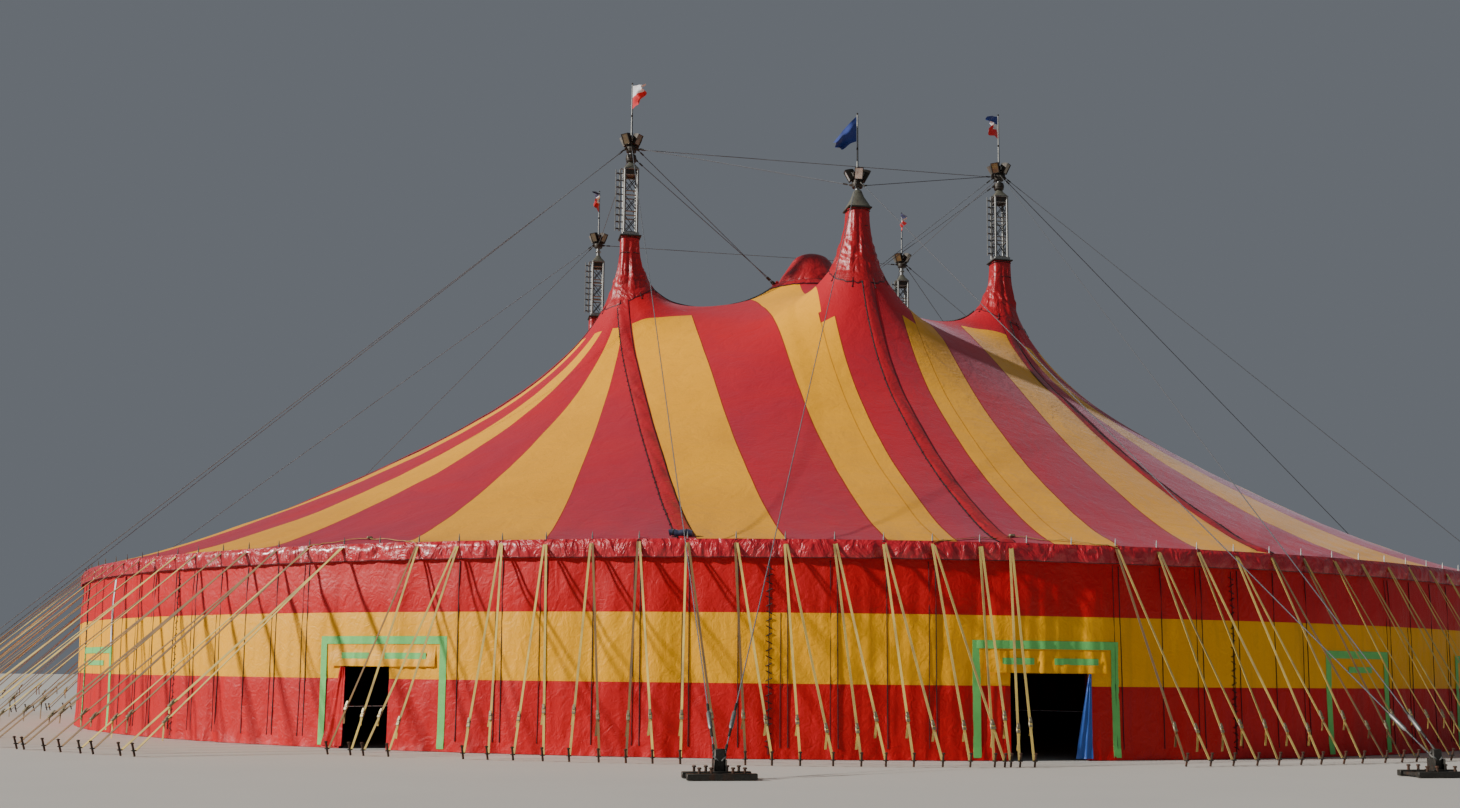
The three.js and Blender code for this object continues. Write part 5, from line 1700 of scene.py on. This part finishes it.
@dataclass
class Doorways:
    """Green edging tape, flaps over the openings, curtains and the doorways' cut edges."""

    tape: float = 0.19
    band: float = 0.15
    band_drop: float = 0.38
    header_levels: Span = (2.0, 2.5)
    header_length: float = 0.52
    reveal_radius: float = 25.9
    curtain_gap: float = 0.03

    @staticmethod
    def on_header(angle: Array, level: Values, lift: float = 0.0) -> Array:
        """Give the point on the flap over an opening, whose lower edge stands off the wall."""
        angle = np.asarray(angle, float)
        loose = 0.014 + 0.05 * ease(Doorways.header_levels[1] - np.asarray(level, float), 0.05, 0.45)
        pleats = 1 + 0.3 * cloth_noise(angle * 3.1, 0.5, 112) + 0.15 * np.cos(angle * 9)
        return SideWall.on_wall(angle, level, lift + loose * pleats)

    def header(self, number: int, door: Door) -> None:
        """Hang the flap that closes the gap over an opening's head."""
        share = np.linspace(0, 1, 90)
        start, end = door.left + 0.5, door.right - 0.45
        across, levels = np.meshgrid(start + (end - start) * share, np.linspace(*self.header_levels, 9))
        levels = levels - 0.02 * np.sin(np.pi * share) * (self.header_levels[1] - levels)
        piece = Piece(f"door_header_{number}", Cloth.WALL_YELLOW)
        piece.grid(self.on_header(across, levels))
        declare_sheet(piece.build(smooth=80), self.header_length)

    def bands(self, piece: Piece, door: Door) -> None:
        """Sew the short bands inside the top of a doorway's outline."""
        middle = (door.left + door.right) / 2
        spans = [(door.left + 1.75, door.right - 1.4)]
        if door.opening:
            spans = [(door.left + 1.3, middle - 0.75), (middle + 0.35, door.right - 1.0)]
        for start, end in spans:
            across = np.linspace(start, end, 30)
            place = self.on_header if door.opening else SideWall.on_wall
            points = place(across, door.top - self.band_drop, 0.012)
            piece.strip(points, (0, 0, 1), PLAN.polar(across, 1.0), self.band, TAPE_THICKNESS)

    def pale_strip(self) -> None:
        """Sew the pale strip on the wall above one side of the farthest exit on the left."""
        piece = Piece("pale_wall_strip", Cloth.WHITE_FLAG)
        points = SideWall.on_wall(-62.0, np.linspace(2.5, 4.5, 20), 0.01)
        piece.strip(points, PLAN.polar(28.0, 1.0), PLAN.polar(-62.0, 1.0), self.band, TAPE_THICKNESS)
        piece.build()

    def outline(self, piece: Piece, door: Door) -> None:
        """Sew a tape round the two sides and the top of a doorway."""
        levels = np.linspace(0.06, door.top + self.tape / 2, 40)
        for angle in (door.left, door.right):
            piece.strip(SideWall.on_wall(angle, levels, 0.01), PLAN.polar(angle + 90, 1.0),
                        PLAN.polar(angle, 1.0), self.tape, TAPE_THICKNESS)
        across = np.linspace(door.left, door.right, 60)
        piece.strip(SideWall.on_wall(across, door.top, 0.012), (0, 0, 1), PLAN.polar(across, 1.0), self.tape,
                    TAPE_THICKNESS)

    def curtain(self, name: str, cloth: Cloth, left: float, right: float, top: float,
                low: float = 0.05, head: float = 1.0) -> None:
        """Hang a loosely gathered curtain in front of the wall beside a doorway.

        Args:
            name: Name of the piece.
            cloth: Its finish.
            left: Angle of its left edge.
            right: Angle of its right edge.
            top: Height of its top.
            low: Height of its foot.
            head: Share of its width that is left at the head.
        """
        share, level = np.meshgrid(np.linspace(0, 1, 46), np.linspace(low, top, 22))
        narrow = 1 + (head - 1) * (level - low) / (top - low)
        angle = left + (right - left) * share * narrow
        fold = 0.013 * np.cos(share * 2 * np.pi * 2.5 + 0.9 * np.sin(level * 1.4))
        fold = fold + 0.012 * cloth_noise(share * 5, level * 0.9, 111)
        fold = fold * np.sqrt(np.sin(np.pi * np.clip(share, 0.02, 0.98)))
        points = PLAN.rim_point(angle, SideWall.reach(angle, level) + self.curtain_gap + fold, level)
        piece = Piece(name, cloth)
        piece.grid(points)
        declare_sheet(piece.build(smooth=80), top)

    def reveals(self) -> None:
        """Turn the cloth inwards at both sides and the top of every open doorway."""
        piece = Piece("doorway_reveals", Cloth.HEM_AND_PAINTED_SHADOW)
        for door in DOORS:
            if door.opening is None:
                continue
            start, end = door.opening
            levels = np.linspace(0.0, OPENING_TOP, 24)
            for angle, level in ((start, levels), (end, levels), (np.linspace(start, end, 24), OPENING_TOP)):
                inside = PLAN.rim_point(angle, self.reveal_radius, level)
                piece.grid(np.stack([SideWall.on_wall(angle, level), inside]))
        declare_sheet(piece.build(), 2.0)

    def build(self) -> None:
        """Build the trim of every doorway."""
        tape = Piece("doorway_tape", Cloth.GREEN_TAPE)
        for door in DOORS:
            self.outline(tape, door)
            self.bands(tape, door)
        tape.build()
        for number, door in enumerate(d for d in DOORS if d.opening):
            self.header(number + 1, door)
        self.pale_strip()
        self.reveals()
        self.curtain("left_door_flap", Cloth.WALL_RED, -36.95, -38.4, 1.98, head=0.25)
        self.curtain("right_door_flap", Cloth.WALL_RED, -2.45, -1.05, 1.69)
        self.curtain("blue_curtain", Cloth.BLUE_SHEET, 3.36, 2.42, 1.98, low=0.04, head=0.14)
        self.curtain("back_door_flap_right", Cloth.WALL_RED, 143.05, 141.6, 1.98, head=0.25)
        self.curtain("back_door_flap_left", Cloth.WALL_RED, 177.55, 178.95, 1.69)


@dataclass
class HoldDowns:
    """Two webbing straps from every pin, each to its own stake, with ratchets and tails."""

    groups: tuple[tuple[str, int, int], ...] = (
        ("straps_front", -13, -1), ("straps_right", 2, 57), ("straps_back", 59, 71), ("straps_left", 74, 129))
    near: float = 28.3
    far: float = 31.3
    near_feet: Span = (0.65, 1.95)
    far_feet: Span = (-1.3, -2.1)
    far_poles: tuple[int, int] = (28, 57)
    door_feet: tuple[tuple[float, Span], ...] = (
        (59, (-1.3, 0.0)), (60, (-1.8, -0.6)), (71, (-1.0, -0.4)), (71.64, (-1.55, -0.8)))
    near_width: float = 0.054
    far_width: float = 0.075
    thickness: float = 0.009
    pin_height: float = 4.93
    bridle_angles: tuple[Point, ...] = (
        (-40.0, -36.6, -32.5), (-5.0, -0.4, 5.0), (140.0, 144.4, 147.5), (175.0, 180.4, 185.0))
    feet: list[Span] = field(default_factory=list)

    def strap(self, piece: Piece, pole: float, side: int, seed: int) -> None:
        """Add one strap with its ratchet, and note where its stake stands.

        Args:
            piece: The piece that takes the strap.
            pole: Number of its pole, counted from the front.
            side: -1 for the left strap of the pole, 1 for the right one.
            seed: Picks its lie, and whether it takes the brown webbing of painted shade.
        """
        rng = np.random.default_rng(seed)
        angle = pole * PLAN.pole_step
        high = PLAN.rim_point(angle + side * 0.05, PLAN.rim_radius + 0.035, self.pin_height)
        half_turn = pole % (PLAN.poles // 2)
        long = self.far_poles[0] <= half_turn <= self.far_poles[1]
        feet, reach = (self.far_feet, self.far) if long else (self.near_feet, self.near)
        feet = dict(self.door_feet).get(round(half_turn, 2), feet)
        stake = angle + feet[side > 0] + rng.uniform(-0.25, 0.25)
        self.feet.append((stake, reach))
        low = PLAN.polar(stake, reach - 0.03, 0.14)
        share = np.linspace(0, 1, 13)
        path = high + (low - high) * share[:, None]
        path[:, 2] -= 0.02 * np.sin(np.pi * share)
        way = unit(low - high)
        flat = unit(np.cross(way, PLAN.polar(angle, 1.0, 0.6)))
        face = np.cross(flat, way)
        twist = rng.uniform(-0.25, 0.25) * np.sin(np.pi * share) + rng.uniform(-0.1, 0.1)
        across = np.outer(np.cos(twist), flat) + np.outer(np.sin(twist), face)
        outward = np.outer(-np.sin(twist), flat) + np.outer(np.cos(twist), face)
        # Slot 1 is the brown webbing, painted shade for a strap seen in shadow; long straps take it more
        # often.
        painted_shade_slot = int(rng.choice([0, 1, 1] if long else [0, 0, 0, 1]))
        width = self.far_width if long else self.near_width
        piece.strip(path, across, outward, width, self.thickness, slot=painted_shade_slot)
        spot = rng.uniform(0.8, 0.88)
        centre = high + (low - high) * spot
        turn = Matrix([flat, way, face]).transposed().to_quaternion()
        piece.block(centre + face * 0.015, (0.085, 0.16, 0.045), 0.012, slot=2, turn=turn)
        piece.block(centre + face * 0.045 - way * 0.08, (0.06, 0.12, 0.02), 0.006, slot=2, turn=turn)
        tail = rng.uniform(0.22, 0.5)
        drop = np.array([centre + face * 0.04, centre + face * 0.06 + (0, 0, -0.3 * tail),
                         centre + face * 0.05 + flat * 0.03 + (0, 0, -tail)])
        piece.strip(drop, flat, face, 0.055, 0.006, slot=painted_shade_slot)

    def stakes(self) -> None:
        """Drive a stake with a hook into the ground at the end of every strap."""
        piece = Piece("ground_stakes", Cloth.STAKE, Cloth.DARK_STEEL)
        for angle, reach in self.feet:
            out = PLAN.polar(angle, 1.0)
            foot = PLAN.polar(angle, reach)
            head = foot + out * 0.08 + (0, 0, 0.27)
            piece.tube([foot + (0, 0, 0.004), head], 0.024, 8)
            piece.tube([head, head + (0, 0, 0.018), head + (0, 0, 0.035)], [0.036, 0.042, 0.02], 8)
            hook = [foot + out * (0.03 + 0.05 * math.cos(t))
                    + PLAN.polar(angle + 90, 0.05 * math.sin(t), 0.13)
                    for t in np.linspace(0, 2 * math.pi, 9)]
            piece.tube(hook, 0.012, 5, slot=1)
        piece.build()

    def bridles(self) -> None:
        """Lay a strap over the rim above every doorway, down to the pins on both sides."""
        piece = Piece("door_bridle_straps", Cloth.STRAP, Cloth.RATCHET)
        for left, middle, right in self.bridle_angles:
            for start, end in ((left, middle), (middle, right)):
                angle = np.linspace(start, end, 20)
                share = np.abs(angle - middle) / abs(start - end)
                inward = 0.55 * (1 - share)
                spots = PLAN.rim_point(angle, PLAN.rim_radius + 0.05 - inward)
                roof = PLAN.creased_roof(spots[:, 0], spots[:, 1])
                height = np.where(inward > 0.12, roof + 0.03, 5.03)
                points = np.stack([spots[:, 0], spots[:, 1], height - 0.08 * ease(share, 0.9, 1.0)], -1)
                piece.strip(points, PLAN.polar(angle, 1.0), (0, 0, 1), 0.06, 0.01)
            knot = PLAN.on_roof(PLAN.rim_point(middle, PLAN.rim_radius - 0.5)[:2], 0.05)
            piece.block(knot, (0.14, 0.12, 0.06), 0.015, slot=1)
        piece.build()

    def build(self) -> None:
        """Build the four groups of straps with their stakes."""
        for name, first, last in self.groups:
            piece = Piece("webbing_" + name, Cloth.STRAP, Cloth.STRAP_PAINTED_SHADE, Cloth.RATCHET)
            extra = [last + 0.64] if last % (PLAN.poles // 2) == 71 else []
            poles = [*range(first, last + 1), *extra]
            for pole in poles:
                for side in (-1, 1):
                    self.strap(piece, pole, side, 1000 + round(pole * 2) + side)
            piece.build(name, slot="webbing")
        self.stakes()
        self.bridles()


@dataclass
class Rigging:
    """Cables between the masts, to the crown and to the ground, with their fittings."""

    radius: float = 0.013
    lower_drum: float = 0.37
    anchors: tuple[tuple[str, float, float], ...] = (
        ("anchor_front_left", -8.2, -31.3), ("anchor_front_right", 6.5, -31.3),
        ("anchor_back_right", 8.2, 31.3), ("anchor_back_left", -6.5, 31.3))
    pegs: tuple[Span, ...] = ((27.6, -16.0), (31.9, -3.0))
    runs: tuple[tuple[str, str, int], ...] = (
        ("front_left", "front_left", -1), ("front_middle", "front_left", 1),
        ("front_middle", "front_right", -1), ("front_right", "front_right", 1),
        ("back_right", "back_right", 1), ("back_left", "back_left", -1))
    turnbuckle_share: float = 0.75

    def __post_init__(self) -> None:
        """Start the piece that holds all cables."""
        self.piece = Piece("cables_and_fittings", Cloth.CABLE, Cloth.DARK_STEEL, Cloth.STEEL)

    def leave(self, mast: Mast, spot: Array, side: float = 0.0) -> Array:
        """Give the point on a mast's drum from which a cable leaves.

        Args:
            mast: The mast.
            spot: Where the cable goes.
            side: How far to the left of its line it leaves.

        Returns:
            The point.
        """
        way = unit(spot[:2] - mast.spot)
        return np.array([*(mast.spot + way * 0.21 + leftwards(way) * side), mast.kind.collar])

    def cable(self, start: Array, end: Array) -> None:
        """Run a cable between two shackles."""
        way = unit(end - start)
        self.piece.tube([start, start + way * 0.3, end - way * 0.3, end], self.radius, 6)
        for spot, inward in ((start, way), (end, -way)):
            self.piece.tube([spot - inward * 0.04, spot + inward * 0.02, spot + inward * 0.1],
                            [0.035, 0.045, 0.02], 8, slot=1)
            self.piece.tube([spot + inward * 0.16, spot + inward * 0.32], 0.028, 6, slot=1)

    def guy(self, mast: Mast, low: Array) -> None:
        """Run a cable from a mast to the ground, with a tensioner near its lower end."""
        high = self.leave(mast, low)
        self.cable(high, low)
        way = unit(high - low)
        foot = low + way * self.turnbuckle_share
        self.piece.tube([foot, foot + way * 0.06, foot + way * 0.44, foot + way * 0.5],
                        [0.024, 0.045, 0.045, 0.024], 10, slot=2)
        self.piece.tube([foot - way * 0.2, foot], 0.028, 8, slot=1)
        self.piece.tube([foot + way * 0.5, foot + way * 0.7], 0.028, 8, slot=1)

    def drum(self, mast: Mast, drop: float = 0.0) -> None:
        """Add the drum with cable eyes round a mast's tube, at the collar or below it."""
        z = mast.kind.collar - drop
        upper = ((0.2, 0.04), (0.185, 0.05), (0.185, 0.11), (0.17, 0.13), (0.1, 0.13))
        outline = [(r, z - up) for r, up in upper[::-1]] + [(r, z + up) for r, up in upper]
        self.piece.lathe([*outline, outline[0]], mast.x, mast.y, 20, slot=1)

    def peg(self, x: float, y: float) -> None:
        """Drive a pair of heavy pegs with a plate."""
        out = unit(np.array([x, y, 0.0]))
        side = leftwards(out)
        for shift in (-0.09, 0.09):
            foot = np.array([x, y, 0.003]) + side * shift
            self.piece.tube([foot, foot + (0, 0, 0.46)], 0.034, 8, slot=1)
            self.piece.tube([foot + (0, 0, 0.46), foot + (0, 0, 0.5)], [0.05, 0.044], 8, slot=1)
        turn = Matrix.Rotation(math.atan2(out[1], out[0]), 3, "Z").to_quaternion()
        self.piece.block((x, y, 0.3), (0.05, 0.3, 0.09), 0.012, slot=1, turn=turn)

    def anchor(self, name: str, x: float, y: float) -> None:
        """Build one ground anchor: a staked frame with an upright post and a lug."""
        piece = Piece("ground_" + name, Cloth.DARK_STEEL, Cloth.STAKE, Cloth.STEEL)
        for side in (-1, 1):
            piece.block((x, y + side * 0.29, 0.06), (1.3, 0.12, 0.12), 0.012)
        for shift in (-0.52, 0.0, 0.52):
            piece.block((x + shift, y, 0.06), (0.14, 0.6, 0.07), 0.012)
        piece.block((x, y, 0.3), (0.2, 0.12, 0.5), 0.02)
        piece.block((x, y, 0.13), (0.34, 0.3, 0.03), 0.008)
        for shift in (-0.11, 0.11):
            piece.block((x + shift, y, 0.24), (0.02, 0.26, 0.24), 0.006)
        for shift_x in (-0.42, -0.2, 0.2, 0.42):
            for side in (-1, 1):
                foot = np.array([x + shift_x, y + side * 0.29, 0.1])
                piece.tube([foot, foot + (0, 0, 0.1)], 0.026, 8, slot=1)
                piece.tube([foot + (0, 0, 0.1), foot + (0, 0, 0.13)], [0.045, 0.035], 8, slot=1)
        for side in (-1, 1):
            spot = np.array([x + side * 0.06, y, 0.36])
            link = [spot + (side * 0.05 * math.cos(t), 0.075 * math.sin(t), 0.05 * math.cos(t))
                    for t in np.linspace(0, 2 * math.pi, 13)]
            piece.tube(link, 0.014, 6, slot=2)
        piece.tube([(x - 0.13, y, 0.48), (x + 0.13, y, 0.48)], 0.022, 8, slot=2)
        piece.build(name, slot="galvanised_steel")

    def guys(self) -> None:
        """Run the guys from the masts to the anchors and pegs."""
        spots = {name: (x, y) for name, x, y in self.anchors}
        for name, anchor, side in self.runs:
            x, y = spots["anchor_" + anchor]
            self.guy(MASTS[name], np.array([x + side * 0.09, y, 0.4]))
        for mast in MASTS.values():
            if mast.kind is SHORT:
                continue
            for peg_x, peg_y in self.pegs:
                x, y = math.copysign(peg_x, mast.x), -math.copysign(1.0, mast.y) * peg_y
                self.peg(x, y)
                self.guy(mast, np.array([x, y, 0.34]))

    def build(self) -> None:
        """Build the cables, their fittings and the anchors."""
        for mast in MASTS.values():
            self.drum(mast)
        for one, other in (("front_left", "front_right"), ("back_left", "back_right"),
                           ("front_left", "front_middle"), ("front_middle", "front_right"),
                           ("front_left", "back_left"), ("front_right", "back_right")):
            first, second = MASTS[one], MASTS[other]
            self.cable(self.leave(first, second.spot), self.leave(second, first.spot))
        for name in ("front_left", "front_right"):
            mast = MASTS[name]
            out = unit(mast.spot - PLAN.crown)
            self.drum(mast, self.lower_drum)
            for side, drop in ((-0.07, 0.0), (0.07, self.lower_drum)):
                end = np.array([*(PLAN.crown + out * 1.58 + leftwards(out) * side), CROWN_BASE + 0.09])
                self.cable(self.leave(mast, end, side) - (0, 0, drop), end)
        self.guys()
        self.piece.build("rigging_cables", slot="galvanised_steel")
        for name, x, y in self.anchors:
            self.anchor(name, x, y)


@dataclass
class CarriedOver:
    """Dresses the frame's own nodes that stay in the scene."""

    finishes: tuple[tuple[str, Cloth], ...] = (
        ("crown_ring", Cloth.DARK_STEEL), ("rim_belt_and_poles_right", Cloth.STEEL),
        ("rim_belt_and_poles_left", Cloth.STEEL))

    def build(self) -> None:
        """Give each node its finish."""
        for name, cloth in self.finishes:
            made = bpy.data.objects[name]
            made.data.materials.clear()
            made.data.materials.append(dressed(cloth))


@dataclass
class Studio:
    """Plain pale floor, soft light and the camera at the photograph's viewing angle."""

    picture_width: int = 1460
    focal_pixels: float = 1445.0
    horizon_shift: float = 110.0
    sensor_width: float = 36.0
    view_depth: float = 400.0
    camera_spot: Point = (-13.03, -57.63, 1.956)
    heading: float = 10.71
    pitch: float = 6.22
    roll: float = 0.6
    sun_azimuth: float = -85.0
    sun_height: float = 27.0
    sun_strength: float = 5.0
    sun_spread: float = 3.0
    sun_color: Color = (1.0, 0.95, 0.88)
    sky_strength: float = 0.17
    sky_color: Color = (0.80, 0.88, 1.0)
    floor_reach: float = 260.0
    floor_height: float = -0.01

    def build_camera(self) -> None:
        """Place the camera and make it the scene's own."""
        lens = bpy.data.cameras.new("camera")
        lens.sensor_width = self.sensor_width
        lens.lens = self.focal_pixels / self.picture_width * lens.sensor_width
        lens.shift_y = self.horizon_shift / self.picture_width
        lens.clip_end = self.view_depth
        camera = add_object("camera", lens)
        level = Matrix.Rotation(-math.radians(self.heading), 4, "Z")
        tilt = Matrix.Rotation(math.radians(90 + self.pitch), 4, "X")
        roll = Matrix.Rotation(math.radians(self.roll), 4, "Z")
        camera.matrix_world = Matrix.Translation(Vector(self.camera_spot) * SCALE) @ level @ tilt @ roll
        bpy.context.scene.camera = camera

    def build_lights(self) -> None:
        """Set a broad key light from the left and an even sky."""
        key = bpy.data.lights.new("key", "SUN")
        key.energy = self.sun_strength
        key.angle = math.radians(self.sun_spread)
        key.color = self.sun_color
        lamp = add_object("key", key)
        turn, rise = math.radians(self.sun_azimuth), math.radians(self.sun_height)
        towards = Vector((math.sin(turn) * math.cos(rise), -math.cos(turn) * math.cos(rise), math.sin(rise)))
        lamp.rotation_euler = (-towards).to_track_quat("-Z", "Y").to_euler()
        world = bpy.data.worlds.new("sky")
        world.use_nodes = True
        background = world.node_tree.nodes["Background"].inputs
        background["Color"].default_value = (*self.sky_color, 1.0)
        background["Strength"].default_value = self.sky_strength
        bpy.context.scene.world = world

    def build_floor(self) -> None:
        """Lay a wide floor just under the tent."""
        floor = Piece("studio_floor", Cloth.FLOOR)
        steps = np.linspace(-self.floor_reach, self.floor_reach, 9)
        x, y = np.meshgrid(steps, steps)
        floor.grid(np.stack([x, y, np.full_like(x, self.floor_height)], -1))
        add_object(floor.name, floor.mesh(SCALE))

    def build(self) -> None:
        """Build the studio."""
        self.build_camera()
        self.build_lights()
        self.build_floor()


def main() -> None:
    """Build the tent's pieces in order."""
    logging.basicConfig(level=logging.INFO, format="%(message)s")
    Studio().build()
    CarriedOver().build()
    RoofCanvas().build()
    SeamTrim().build()
    CrownCap().build()
    for number, (name, mast) in enumerate(MASTS.items()):
        MastSleeve(mast, 61 + 3 * number).build()
        MastFrame(mast).build()
        MastHead(mast).build()
        Flag(mast, BANNERS[name], number).build()
    Valance().build()
    SideWall().build()
    Doorways().build()
    HoldDowns().build()
    Rigging().build()


if __name__ == "__main__":
    main()
